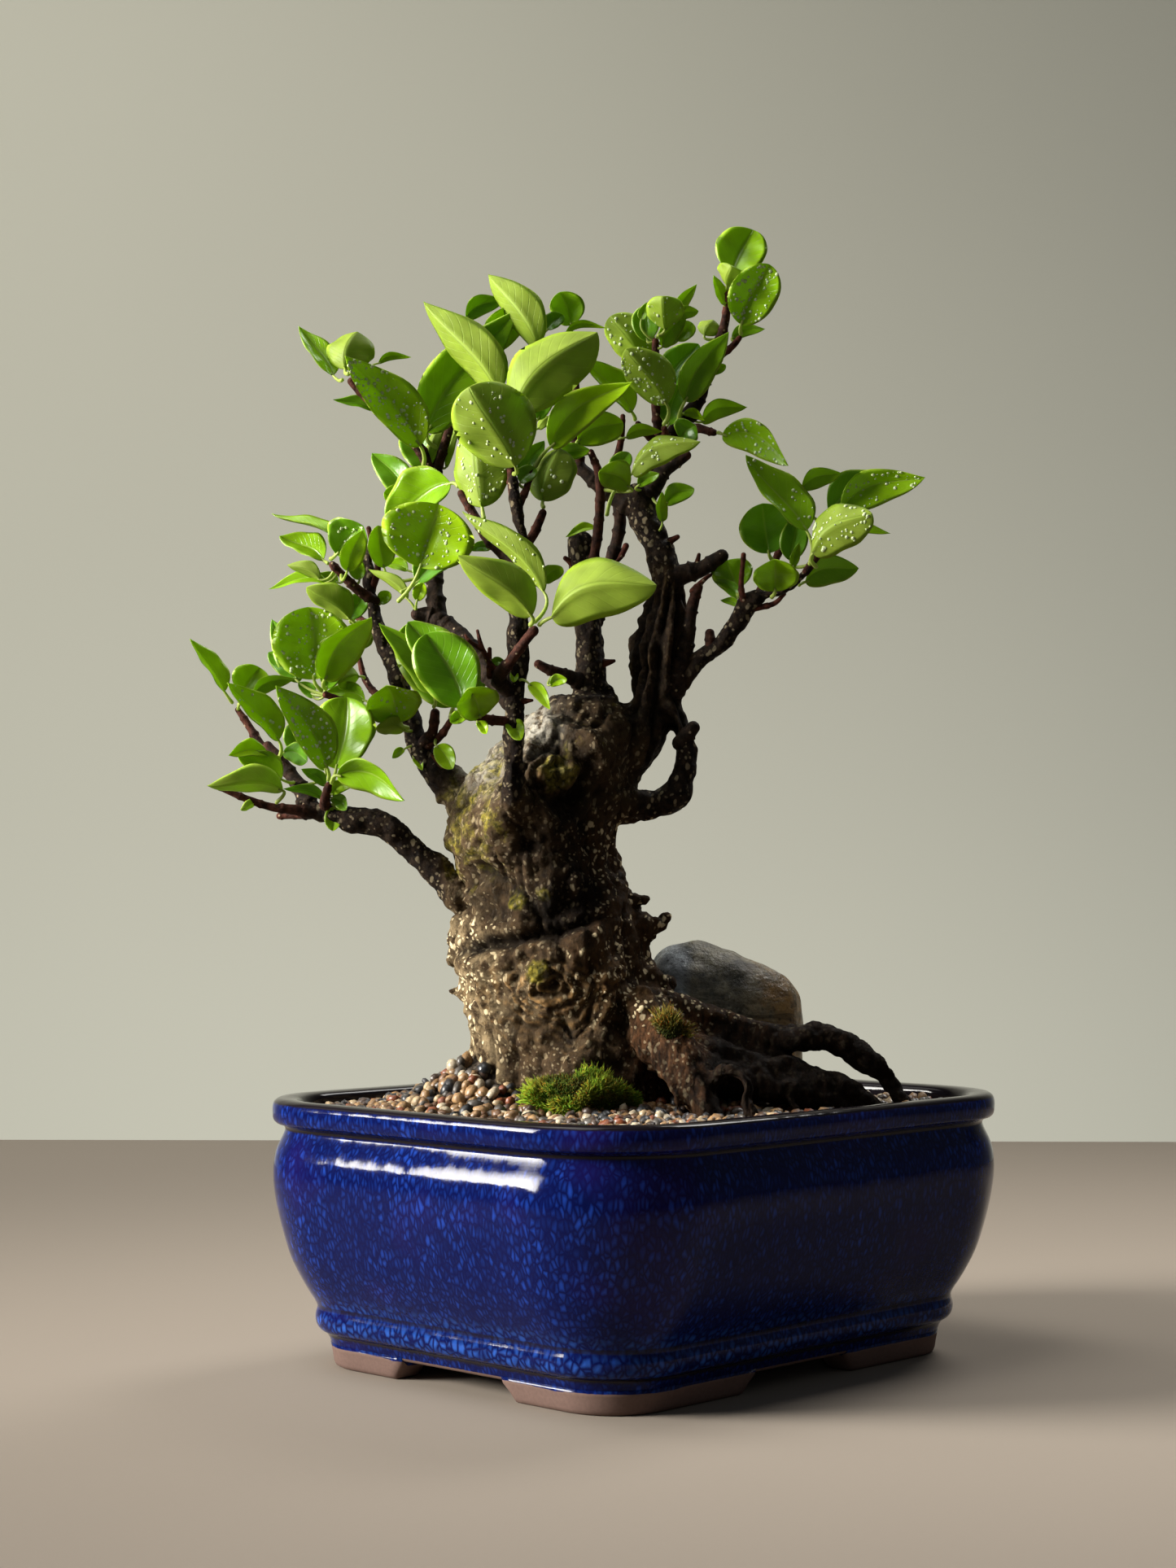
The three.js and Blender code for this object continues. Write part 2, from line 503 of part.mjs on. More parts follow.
function makeStone(grow) {
  const egg = new THREE.IcosahedronGeometry(1, 3);
  const at = egg.attributes.position;
  for (let i = 0; i < at.count; i += 1) {
    const across = Math.sign(at.getX(i)) * Math.abs(at.getX(i)) ** 0.8;
    const up = Math.sign(at.getZ(i)) * Math.abs(at.getZ(i)) ** 0.85;
    const halfUp = STONE_HALF[2] + grow;
    const p = onPlant(
      STONE_AT[0] + across * (STONE_HALF[0] + grow),
      STONE_AT[1] + at.getY(i) * (STONE_HALF[1] + grow),
      STONE_AT[2] + up * halfUp + STONE_LEAN * across * STONE_HALF[0] * Math.max(up, 0));
    at.setXYZ(i, p.x, p.y, p.z);
  }
  return toSolid(egg);
}

// A low pillow of moss centred on [across, back, up], before it is cut by what it grows on.
function makeMossPad(centre, half) {
  const pad = new THREE.SphereGeometry(1, 14, 8);
  const at = pad.attributes.position;
  for (let i = 0; i < at.count; i += 1) {
    const p = onPlant(centre[0] + at.getX(i) * half[0], centre[1] + at.getZ(i) * half[1],
      centre[2] - at.getY(i) * half[2]);
    at.setXYZ(i, p.x, p.y, p.z);
  }
  return toSolid(pad);
}

// ---- Leaves ------------------------------------------------------------------------------------

// Stations along a blade: [share of the length, share of the greatest width].
const BLADE = [[0.02, 0.16], [0.14, 0.66], [0.36, 1], [0.62, 0.84], [0.86, 0.4]];

// One leaf with its stalk. The stalk runs from the twig to the blade; the blade runs from its foot
// to its tip, cupped so that both edges stand up towards the upper face, and bowed along its length.
// Roll turns the upper face away from the front, in degrees.
function makeLeaf([stalkFrom, bladeFrom, bladeTo, width, roll, cup, bow]) {
  const foot = onPlant(...stalkFrom);
  const base = onPlant(...bladeFrom);
  const tip = onPlant(...bladeTo);
  const along = tip.clone().sub(base);
  const length = along.length();
  along.normalize();
  const face = TOWARDS_EYE.clone().addScaledVector(along, -TOWARDS_EYE.dot(along)).normalize();
  face.applyAxisAngle(along, THREE.MathUtils.degToRad(roll));
  const half = width / 2;
  const section = (centre, normal, side, halfWidth, rise, thick) => [
    centre.clone().addScaledVector(normal, thick),
    centre.clone().addScaledVector(side, halfWidth).addScaledVector(normal, rise),
    centre.clone().addScaledVector(normal, -thick),
    centre.clone().addScaledVector(side, -halfWidth).addScaledVector(normal, rise),
  ];
  const stalkLength = base.distanceTo(foot);
  const stalk = new THREE.QuadraticBezierCurve3(
    foot, base.clone().addScaledVector(along, -stalkLength / 2), base);
  const rings = [];
  for (const t of [0, 0.5]) {
    const tangent = stalk.getTangent(t);
    const normal = face.clone().addScaledVector(tangent, -face.dot(tangent)).normalize();
    const side = tangent.clone().cross(normal);
    rings.push(section(stalk.getPoint(t), normal, side, PETIOLE_RADIUS, 0, PETIOLE_RADIUS));
  }
  const across = along.clone().cross(face);
  for (const [share, wide] of BLADE) {
    const centre = base.clone().addScaledVector(along, share * length)
      .addScaledVector(face, -4 * bow * share * (1 - share));
    const reach = half * wide;
    rings.push(section(centre, face, across, reach, cup * reach * wide, LEAF_THICKNESS / 2));
  }
  return closedLoft(rings, foot, tip);
}

// Leaves by branch: [stalk foot, blade foot, blade tip, width, roll, cup, bow].
const LEAVES = {
  low_left: [
    [[-102, -10, 188], [-102.5, -12, 192], [-119.5, -20, 219], 12, 20, 0.3, 2],
    [[-100.5, -6, 187.5], [-99.5, -4, 191.5], [-96, 2, 215], 20, -10, 0.2, 2],
    [[-118, -2, 196], [-118.5, -4, 201], [-135.5, -14, 220], 10, 40, 0.4, 2],
    [[-134, 9, 213.5], [-136.5, 7, 217], [-148, 2, 234.5], 8, 55, 0.3, 1],
    [[-131.5, 13, 213], [-130.5, 15, 215], [-125, 19, 225], 11, 10, 0.3, 1],
    [[-119, -11, 180.5], [-117, -13, 184.5], [-142, -20, 186], 9, 150, 0.3, 2],
    [[-101, -12, 187], [-99, -14, 189.5], [-77, -24, 181], 10, 30, 0.3, 2],
  ],
  mid_left: [
    [[-104.5, 1, 217.5], [-107, -1, 221], [-109, -6, 245], 23, 0, 0.25, 3],
    [[-103, -3, 218], [-103.5, -8, 221], [-88, -20, 241.5], 12, 35, 0.4, 2],
    [[-76.5, 5.5, 205], [-79, 3, 207], [-83, -9, 219], 16, 0, 0.3, 2],
    [[-67.3, 1.5, 212], [-68, -4, 217], [-85.5, -10, 239.5], 10, -30, 0.3, 2],
    [[-61.5, 0, 209], [-61, 4, 217], [-75, 8, 242], 19, 0, 0.2, 2],
    [[-93, 10, 239], [-95, 9, 241], [-109.5, 4, 251.5], 10, 150, 0.3, 2],
  ],
  upper_left: [
    [[-79, -31, 247], [-72, -34, 258], [-66, -38, 279], 26, 0, 0.22, 3],
    [[-59.5, -24, 285], [-62, -22, 286], [-83, -14, 273], 16, 20, 0.25, 2],
    [[-78, -27, 250], [-73, -25, 253], [-55, -22, 268], 10, -20, 0.3, 2],
    [[-101.5, 7, 261], [-99.5, 4, 262.5], [-91, -4, 272], 13, 0, 0.3, 2],
    [[-102.5, 12, 259.5], [-104, 14, 260.5], [-118.5, 20, 268.5], 9, 30, 0.3, 2],
    [[-100, 14, 262.5], [-100, 17, 268], [-121, 24, 276], 7, 60, 0.3, 2],
    [[-67, -8, 298], [-69, -12, 303], [-58, -14, 335], 17, 10, 0.2, 2],
    [[-71, -15, 292], [-72, -18, 298.5], [-97, -28, 328.5], 14, 15, 0.3, 3],
    [[-96, -14, 322.5], [-97, -11, 324], [-93, -7, 336.5], 14, 170, 0.35, 2],
    [[-98, -15, 320.5], [-101, -9, 322], [-112.5, -2, 338.5], 8, 30, 0.3, 2],
  ],
  front: [
    [[-35.5, -54.5, 239], [-35, -57, 242], [-59.5, -63, 262], 12, 165, 0.3, 3],
    [[-34, -50, 240], [-31, -47, 250], [-58, -42, 276.5], 9, 140, 0.3, 3],
    [[-32.5, -54.5, 239], [-27.5, -58, 243.5], [6, -66, 254], 15, 170, 0.3, 3],
    [[-41, -36.5, 289], [-40.5, -42, 291.5], [-56, -52, 318], 22, 170, 0.3, 3],
    [[-51, -32, 274.5], [-51.5, -31, 278], [-54, -30, 304.5], 17, 160, 0.3, 2],
    [[-31.3, -28, 278], [-31.5, -26, 280], [-26, -23, 297.5], 14, 160, 0.3, 2],
    [[-34, -25.5, 291.5], [-29, -25, 298], [-2, -32, 319.5], 11, 20, 0.3, 3],
    [[-42, -27, 306], [-40.5, -30, 312], [-13.5, -26, 336], 18, 170, 0.3, 3],
    [[-43.5, -25, 306], [-46, -23, 316], [-71, -15, 346.5], 14, 150, 0.3, 3],
    [[-34.5, -16.5, 328], [-33, -15, 332], [-49.5, -8, 355.5], 12, 150, 0.3, 3],
  ],
  centre: [
    [[-22.3, 8, 336], [-22, 8, 338.5], [-26, 4, 349.5], 10, 0, 0.3, 1],
    [[-1, 3, 307], [-2, 1, 309.5], [-17.5, -6, 327], 10, 30, 0.3, 2],
    [[3, 10, 321.5], [2, 12, 325], [-9, 8, 341.5], 13, 160, 0.3, 2],
    [[8.6, -2, 305.5], [9.5, -6, 312], [-4, -13, 330.5], 13, 165, 0.3, 2],
    [[7, 3.5, 335], [9, 2, 337], [8, -5, 348], 11, 170, 0.35, 2],
    [[13.5, 6, 307.5], [15.5, 2, 313], [30, -3, 336], 10, 20, 0.3, 2],
    [[-10.3, -12, 275.5], [-2, -15, 289], [20.5, -22, 299.5], 10, 150, 0.3, 2],
  ],
  right: [
    [[30, 14, 351.5], [31.5, 15, 355], [38, 19, 370], 15, 0, 0.25, 2],
    [[34, 7, 335.5], [34, 5, 338.5], [43.5, -1, 358.5], 14, 10, 0.3, 2],
    [[26.5, 4.5, 302.5], [28, 3, 302], [49.5, -8, 291.5], 10, 30, 0.3, 2],
  ],
  far_right: [
    [[56.5, -11.5, 259], [55.5, -13, 270], [35.5, -10, 295], 13, 30, 0.3, 3],
    [[58.5, -13, 258], [57.5, -17, 262.5], [77, -26, 275.5], 14, 160, 0.3, 2],
    [[65, -5, 272], [67, -6, 277], [94.5, -12, 287.5], 11, 20, 0.3, 2],
    [[64, -1.5, 271.5], [63, 2, 275], [85, 9, 288], 12, 0, 0.2, 2],
    [[53, -4, 252], [55, -2, 253], [72.5, 4, 257.5], 9, 20, 0.3, 1],
    [[44, 2, 260.5], [43, 0, 262.5], [41, -6, 279], 15, 0, 0.2, 2],
    [[44, -9, 248], [45, -11, 250], [45, -17, 260.5], 13, 0, 0.3, 1],
  ],
};

// ---- Assembly ----------------------------------------------------------------------------------

const clearance = makeRootwork(GAP);
const stoneRoom = makeStone(GAP);
const soil = makeSoil();
const gravel = makeGravel(soil);
const stone = makeStone(0).subtract(clearance);

addPiece('pot', makePot(), GLAZE);
addPiece('drain_screen_left', makeScreen(-DRAIN_X), PLASTIC_MESH);
addPiece('drain_screen_right', makeScreen(DRAIN_X), PLASTIC_MESH);
addPiece('soil', toGeometry(mainBody(soil.subtract(clearance).subtract(stoneRoom))), EARTH);
addPiece('gravel_dressing',
  toGeometry(mainBody(gravel.subtract(clearance).subtract(stoneRoom))), GRAVEL);
addPiece('river_stone', toGeometry(mainBody(stone)), ROCK);

// Moss grows on the gravel and against the wood, so both are taken out of it with clearance.
const onGravel = gravel.translate([0, 0, GAP]).add(gravel.translate([0, 0, GAP - GRAVEL_DEPTH]));
const MOSS_PADS = {
  moss_front: [[-19, -36, 88], [19, 13, 9]],
  moss_right: [[10.5, -33, 104], [7, 8, 7]],
};
for (const [name, [centre, half]] of Object.entries(MOSS_PADS)) {
  const pad = makeMossPad(centre, half).subtract(onGravel).subtract(clearance).subtract(stoneRoom);
  addPiece(name, toGeometry(mainBody(pad)), MOSS);
}

addPiece('tree', toGeometry(makeTree()), BARK);

for (const [branch, leaves] of Object.entries(LEAVES)) {
  leaves.forEach((leaf, i) => addPiece(`leaf_${branch}_${i + 1}`, makeLeaf(leaf), FOLIAGE));
}

// Slide the whole model so that its outer box stands with its middle over the origin.
const middle = new THREE.Box3().setFromObject(model).getCenter(new THREE.Vector3());
model.position.set(-middle.x, -middle.y, 0);

export default model;
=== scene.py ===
"""The looks of a small ficus bonsai in a glazed stoneware pot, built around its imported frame.

Lengths in the tables are millimetres, and Blender's are metres. Places on the plant are given as
[across, back, up] on a drawing of its front, as in on_plant.
"""

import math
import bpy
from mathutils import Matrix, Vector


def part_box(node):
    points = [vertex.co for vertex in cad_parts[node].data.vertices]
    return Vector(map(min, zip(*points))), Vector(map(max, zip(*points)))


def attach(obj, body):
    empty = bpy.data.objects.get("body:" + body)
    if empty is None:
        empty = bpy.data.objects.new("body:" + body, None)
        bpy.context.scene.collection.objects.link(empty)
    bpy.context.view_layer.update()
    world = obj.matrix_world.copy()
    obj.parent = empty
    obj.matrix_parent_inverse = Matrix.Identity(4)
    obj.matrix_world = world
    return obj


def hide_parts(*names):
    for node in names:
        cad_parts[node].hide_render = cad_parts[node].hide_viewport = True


bl_info = {
    "name": "Potted Ficus Bonsai",
    "version": (1, 0, 0),
    "blender": (4, 5, 0),
    "location": "3D View > Sidebar > Bonsai",
    "description": "Builds the pot, ground, wood and foliage of a small bonsai around its frame",
    "category": "Object",
}

import bpy
import numpy as np
from mathutils import Matrix, Vector
from mathutils.bvhtree import BVHTree

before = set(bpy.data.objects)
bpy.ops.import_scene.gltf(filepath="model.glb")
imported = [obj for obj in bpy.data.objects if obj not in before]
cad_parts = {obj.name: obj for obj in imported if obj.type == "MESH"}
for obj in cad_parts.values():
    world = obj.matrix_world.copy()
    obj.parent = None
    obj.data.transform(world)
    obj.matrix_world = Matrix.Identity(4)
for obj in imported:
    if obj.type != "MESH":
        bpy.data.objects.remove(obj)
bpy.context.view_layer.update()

MM = 0.001
POT_LOW, POT_HIGH = (np.array(corner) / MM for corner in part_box("pot"))
POT_LENGTH, POT_WIDTH, POT_HEIGHT = POT_HIGH - POT_LOW
POT_MIDDLE = np.array([*(POT_LOW + POT_HIGH)[:2] / 2, 0.0])
PLANT_TURN = math.radians(-47.2)      # the tree's best side faces the pot's corner
EYE_DISTANCE = 855                    # the front drawing is seen from this far
EYE_HEIGHT = 152                      # and from this high


# ---- Sizes and colours that a user would change ----


def length(name, description, default):
    return bpy.props.FloatProperty(
        name=name, description=description, default=default, min=0, unit="LENGTH")


def colour(name, description, default):
    return bpy.props.FloatVectorProperty(
        name=name, description=description, default=default, size=3, min=0, max=1, subtype="COLOR")


class BonsaiSizes(bpy.types.PropertyGroup):
    """Sizes of the fine work that the frame leaves open."""

    pebble: length("Pebble", "Mean width of a gravel pebble", 0.0042)
    bark_grain: length("Bark grain", "Cell of the trunk's skin", 0.00095)
    leaf_thickness: length("Leaf thickness", "Thickness of a blade at its middle", 0.0005)
    petiole: length("Leaf stalk", "Radius of a leaf's stalk", 0.00062)
    droplet: length("Droplet", "Largest width of a water droplet", 0.0015)
    moss_strand: length("Moss strand", "Length of one strand of moss", 0.0042)


class BonsaiColours(bpy.types.PropertyGroup):
    """Main colours of each finish."""

    glaze: colour("Glaze", "Deep colour of the glaze", (0.0018, 0.0035, 0.040))
    glaze_cells: colour("Glaze cells", "Light cells floating in the glaze", (0.010, 0.042, 0.28))
    clay: colour("Clay", "Bare stoneware of the feet", (0.15, 0.095, 0.078))
    bark: colour("Bark", "Middle tone of the old bark", (0.062, 0.037, 0.019))
    twig: colour("Young wood", "Red-brown of the young twigs", (0.085, 0.026, 0.016))
    moss: colour("Moss", "Living moss", (0.16, 0.30, 0.01))
    leaf_young: colour("Young leaf", "Upper face of a young leaf", (0.37, 0.60, 0.004))
    leaf_old: colour("Old leaf", "Upper face of a hardened leaf", (0.040, 0.20, 0.008))
    leaf_under: colour("Leaf underside", "Matte underside of a leaf", (0.30, 0.40, 0.034))
    stone: colour("Stone", "Middle tone of the river stone", (0.135, 0.12, 0.08))
    wall: colour("Wall", "Backdrop", (0.50, 0.49, 0.42))
    floor: colour("Floor", "Surface that the pot stands on", (0.27, 0.23, 0.19))


def sizes():
    return bpy.context.scene.bonsai_sizes


def colours():
    return bpy.context.scene.bonsai_colours


# ---- Numbers and curves ----

LATTICE_SIZE = 32
LATTICE = np.random.default_rng(11).random((LATTICE_SIZE,) * 3)


def noise(points, size, seed=0):
    """Value noise from -1 to 1: random numbers on a cubic lattice, blended by 3t^2 - 2t^3."""
    place = points / size + 5.37 * seed
    cell = np.floor(place).astype(int)
    share = place - cell
    share = share * share * (3 - 2 * share)
    total = np.zeros(points.shape[:-1])
    for corner in range(8):
        step = np.array([corner & 1, corner >> 1 & 1, corner >> 2])
        i, j, k = np.moveaxis((cell + step) % LATTICE_SIZE, -1, 0)
        total += np.prod(np.where(step, share, 1 - share), axis=-1) * LATTICE[i, j, k]
    return 2 * total - 1


def fractal(points, size, octaves=3, seed=0):
    """A sum of noises, each half as large and half as strong as the one before."""
    return sum(noise(points, size / 2 ** k, seed + k) / 2 ** k for k in range(octaves))


def unit(vectors):
    """Vectors brought to length one."""
    return vectors / np.maximum(np.linalg.norm(vectors, axis=-1, keepdims=True), 1e-12)


def all_round(count):
    """Equal steps of angle all the way round."""
    return np.linspace(0, 2 * np.pi, count, endpoint=False)


def bell(distance, reach):
    """exp(-(d / reach)^2): one at no distance, fading out past the reach."""
    return np.exp(-(distance / reach) ** 2)


def smooth_step(low, high, values):
    """0 at low and 1 at high by 3t^2 - 2t^3, and flat past both; low may be the larger."""
    share = np.clip((values - low) / (high - low), 0, 1)
    return share * share * (3 - 2 * share)


def turned(points, angle):
    """Points turned about the vertical by an angle."""
    c, s = math.cos(angle), math.sin(angle)
    return points @ np.array([[c, s, 0], [-s, c, 0], [0, 0, 1]])


def on_plant(places):
    """[across, back, up] on the front drawing as points in the row frame, in millimetres.

    Across and up are where the point lines up on the plane through the pot's middle as seen from
    the eye, so both grow with the distance behind that plane by 1 + back / eye distance.
    """
    places = np.asarray(places, float)
    across, back, up = np.moveaxis(places[..., :3], -1, 0)
    spread = 1 + back / EYE_DISTANCE
    flat = np.stack([across * spread, back, EYE_HEIGHT + (up - EYE_HEIGHT) * spread], axis=-1)
    return turned(flat, PLANT_TURN) + POT_MIDDLE


def on_drawing(points):
    """The inverse of on_plant: row-frame points in millimetres as [across, back, up]."""
    flat = turned(points - POT_MIDDLE, -PLANT_TURN)
    spread = 1 + flat[..., 1] / EYE_DISTANCE
    return np.stack([flat[..., 0] / spread, flat[..., 1],
                     EYE_HEIGHT + (flat[..., 2] - EYE_HEIGHT) / spread], axis=-1)


TOWARDS_EYE = turned(np.array([0.0, -1.0, 0.0]), PLANT_TURN)
FEWEST_STEPS = 2                      # between two rows of a resampled curve
FIRST_NORMAL = (0.3, 0.5, 0.8)        # what a carried normal starts from
ROUND_END = np.array([0.35, 0.7, 0.93])       # radii of its rings, from the tip inwards


def spline(rows, spacing):
    """Rows of numbers resampled along the smooth curve through their first three columns.

    Cubic Hermite pieces, timed by the square root of the distance between rows, with the slope at
    a row taken from its two neighbours (a centripetal Catmull-Rom curve).
    """
    rows = np.asarray(rows, float)
    gaps = np.linalg.norm(np.diff(rows[:, :3], axis=0), axis=1)
    times = np.sqrt(np.maximum(gaps, 1e-6))[:, None]
    slopes = np.diff(rows, axis=0) / times
    if len(rows) > 2:
        double = (rows[2:] - rows[:-2]) / (times[1:] + times[:-1])
        inner = slopes[:-1] - double + slopes[1:]
    else:
        inner = rows[:0]
    tangents = np.concatenate([slopes[:1], inner, slopes[-1:]])
    counts = np.maximum(np.ceil(gaps / spacing).astype(int), FEWEST_STEPS)
    segment = np.repeat(np.arange(len(counts)), counts)
    share = np.concatenate([np.arange(n) / n for n in counts])[:, None]
    h = times[segment]
    out = ((2 * share ** 3 - 3 * share ** 2 + 1) * rows[segment]
           + (share ** 3 - 2 * share ** 2 + share) * h * tangents[segment]
           + (3 * share ** 2 - 2 * share ** 3) * rows[segment + 1]
           + (share ** 3 - share ** 2) * h * tangents[segment + 1])
    return np.concatenate([out, rows[-1:]])


def carried_frames(path):
    """Tangent, normal and side along a path: the normal is carried on and kept square to it."""
    tangents = unit(np.gradient(path, axis=0))
    normals = np.empty_like(path)
    normal = np.array(FIRST_NORMAL)
    for i, tangent in enumerate(tangents):
        normal = unit(normal - normal.dot(tangent) * tangent)
        normals[i] = normal
    return tangents, normals, np.cross(tangents, normals)


def tube(path, radius, sides):
    """A circle carried along a path: centre + r (normal cos a + side sin a).

    Rings on a half ball round off each end: one of share b of the radius stands sqrt(1 - b^2) of
    the radius beyond the path.
    """
    tangents, normals, side = carried_frames(path)
    push = np.sqrt(1 - ROUND_END ** 2)[:, None]
    path = np.concatenate([path[0] - push * radius[0] * tangents[0], path,
                           path[-1] + push[::-1] * radius[-1] * tangents[-1]])
    radius = np.concatenate([ROUND_END * radius[0], radius, ROUND_END[::-1] * radius[-1]])
    more = (len(ROUND_END), len(ROUND_END))
    normals, side = (np.pad(a, (more, (0, 0)), mode="edge") for a in (normals, side))
    angle = all_round(sides)[None, :, None]
    return path[:, None] + radius[:, None, None] * (np.cos(angle) * normals[:, None]
                                                    + np.sin(angle) * side[:, None])


# ---- Meshes ----


def grid_faces(rows, columns):
    """Quads between closed rings that stand in a row, counted ring by ring."""
    i = np.arange(rows - 1)[:, None] * columns
    j = np.arange(columns)[None]
    after = (j + 1) % columns
    corners = (i + j, i + after, i + columns + after, i + columns + j)
    return np.stack(np.broadcast_arrays(*corners), axis=-1).reshape(-1, 4)


def closed_faces(rows, columns):
    """Quads of the rings, and a fan at either end to a point counted after all the rings."""
    j = np.arange(columns)
    after = (j + 1) % columns
    last = (rows - 1) * columns
    low_fan = np.stack([after, j, np.full(columns, rows * columns)], axis=1)
    high_fan = np.stack([last + j, last + after, np.full(columns, rows * columns + 1)], axis=1)
    return [grid_faces(rows, columns), low_fan, high_fan]


def keep_number(mesh, name, values):
    """Keeps one number for each point of a mesh, under a name that a finish can ask for."""
    layer = mesh.attributes.new(name, "FLOAT", "POINT")
    layer.data.foreach_set("value", values.astype(np.float32))


def placed(name, data):
    """A new object in the scene that holds this data."""
    thing = bpy.data.objects.new(name, data)
    bpy.context.scene.collection.objects.link(thing)
    return thing


class Skin:
    """Surfaces gathered into one mesh, with named numbers kept at each of its points."""

    def __init__(self, *attributes):
        self.attributes = attributes
        self.points, self.faces, self.numbers = [], [], []
        self.count = 0

    def add(self, points, faces, **values):
        """Points in millimetres, faces as a list of corner arrays, values by attribute name."""
        points = points.reshape(-1, 3)
        self.points.append(points)
        self.faces += [part + self.count for part in faces]
        self.numbers.append({name: np.broadcast_to(np.ravel(values.get(name, 0.0)), len(points))
                             for name in self.attributes})
        self.count += len(points)

    def add_rings(self, grid, **values):
        """Rings in a row, with either end closed by a fan to the middle of its ring."""
        rows, columns = grid.shape[:2]

        def padded(value):
            """A number for each ring or point, with the end points taking their ring's."""
            value = np.asarray(value, float)
            if value.ndim == 1 and len(value) == rows:
                value = np.repeat(value[:, None], columns, axis=1)
            value = np.broadcast_to(value, (rows, columns))
            return np.concatenate([value.ravel(), [value[0].mean(), value[-1].mean()]])

        middles = [grid[0].mean(axis=0), grid[-1].mean(axis=0)]
        self.add(np.concatenate([grid.reshape(-1, 3), middles]), closed_faces(rows, columns),
                 **{name: padded(value) for name, value in values.items()})

    def mesh(self, name):
        """The gathered surfaces as one mesh."""
        mesh = bpy.data.meshes.new(name)
        points = np.concatenate(self.points) * MM
        mesh.from_pydata(points.tolist(), [], [row for part in self.faces for row in part.tolist()])
        for number in self.attributes:
            keep_number(mesh, number, np.concatenate([part[number] for part in self.numbers]))
        return mesh

    def piece(self, name, finish, slot, *nodes):
        """The gathered mesh as a piece that rides on the root body and stands for some nodes."""
        return finished(self.mesh(name), name, finish, slot, *nodes)


def finished(mesh, name, finish, slot, *nodes):
    """A mesh as a smooth piece in its finish, on the root body, in the place of some nodes."""
    mesh.polygons.foreach_set("use_smooth", np.ones(len(mesh.polygons), bool))
    mesh.materials.clear()
    mesh.materials.append(finish)
    mesh.validate()
    mesh.update()
    piece = placed(name, mesh)
    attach(piece, "root")
    if nodes:
        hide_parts(*nodes)
    return piece


def with_modifier(mesh, kind, **settings):
    """A copy of a mesh as one modifier leaves it."""
    holder = placed("holder", mesh)
    modifier = holder.modifiers.new(kind.title(), kind)
    for key, value in settings.items():
        setattr(modifier, key, value)
    bpy.context.view_layer.update()
    graph = bpy.context.evaluated_depsgraph_get()
    result = bpy.data.meshes.new_from_object(holder.evaluated_get(graph))
    bpy.data.objects.remove(holder)
    return result


def mesh_arrays(mesh):
    """A mesh's points in millimetres and their outward directions."""
    points = np.empty(len(mesh.vertices) * 3, np.float32)
    mesh.vertices.foreach_get("co", points)
    normals = np.empty(len(mesh.vertices) * 3, np.float32)
    mesh.vertex_normals.foreach_get("vector", normals)
    return points.reshape(-1, 3).astype(float) / MM, normals.reshape(-1, 3).astype(float)


def scattered(base_points, base_faces, places, axes):
    """Copies of a small shape: place + base turned by each 3 by 3 matrix of axes."""
    points = places[:, None] + np.einsum("pk,nkj->npj", base_points, axes)
    offsets = np.arange(len(places))[:, None, None] * len(base_points)
    return points, [(part[None] + offsets).reshape(-1, part.shape[1]) for part in base_faces]


def ball(rows, columns):
    """A unit ball as rings between two poles, with its faces pointing out."""
    up = -np.cos(np.linspace(0, np.pi, rows + 2)[1:-1])
    angle = all_round(columns)
    out = np.sqrt(1 - up ** 2)
    rings = np.stack([out[:, None] * np.cos(angle), out[:, None] * np.sin(angle),
                      np.repeat(up[:, None], columns, axis=1)], axis=-1)
    points = np.concatenate([rings.reshape(-1, 3), [[0, 0, -1], [0, 0, 1]]])
    return points, closed_faces(rows, columns)


def random_turns(count, random):
    """Random turns as rows of axes, from random unit quaternions."""
    w, x, y, z = unit(random.normal(size=(count, 4))).T
    return np.stack([
        np.stack([1 - 2 * (y * y + z * z), 2 * (x * y - z * w), 2 * (x * z + y * w)], axis=1),
        np.stack([2 * (x * y + z * w), 1 - 2 * (x * x + z * z), 2 * (y * z - x * w)], axis=1),
        np.stack([2 * (x * z - y * w), 2 * (y * z + x * w), 1 - 2 * (x * x + y * y)], axis=1),
    ], axis=1)


def tree_of(mesh_object):
    """A search tree over a CAD node's faces, in metres."""
    mesh = mesh_object.data
    return BVHTree.FromPolygons([v.co for v in mesh.vertices], [p.vertices for p in mesh.polygons])


def is_inside(search, point, margin=0.0):
    """Whether a point in millimetres lies in the searched solid or within a margin of it."""
    spot, normal, _, distance = search.find_nearest(Vector(point * MM))
    return (Vector(point * MM) - spot).dot(normal) < 0 or distance < margin * MM


# ---- Finishes ----


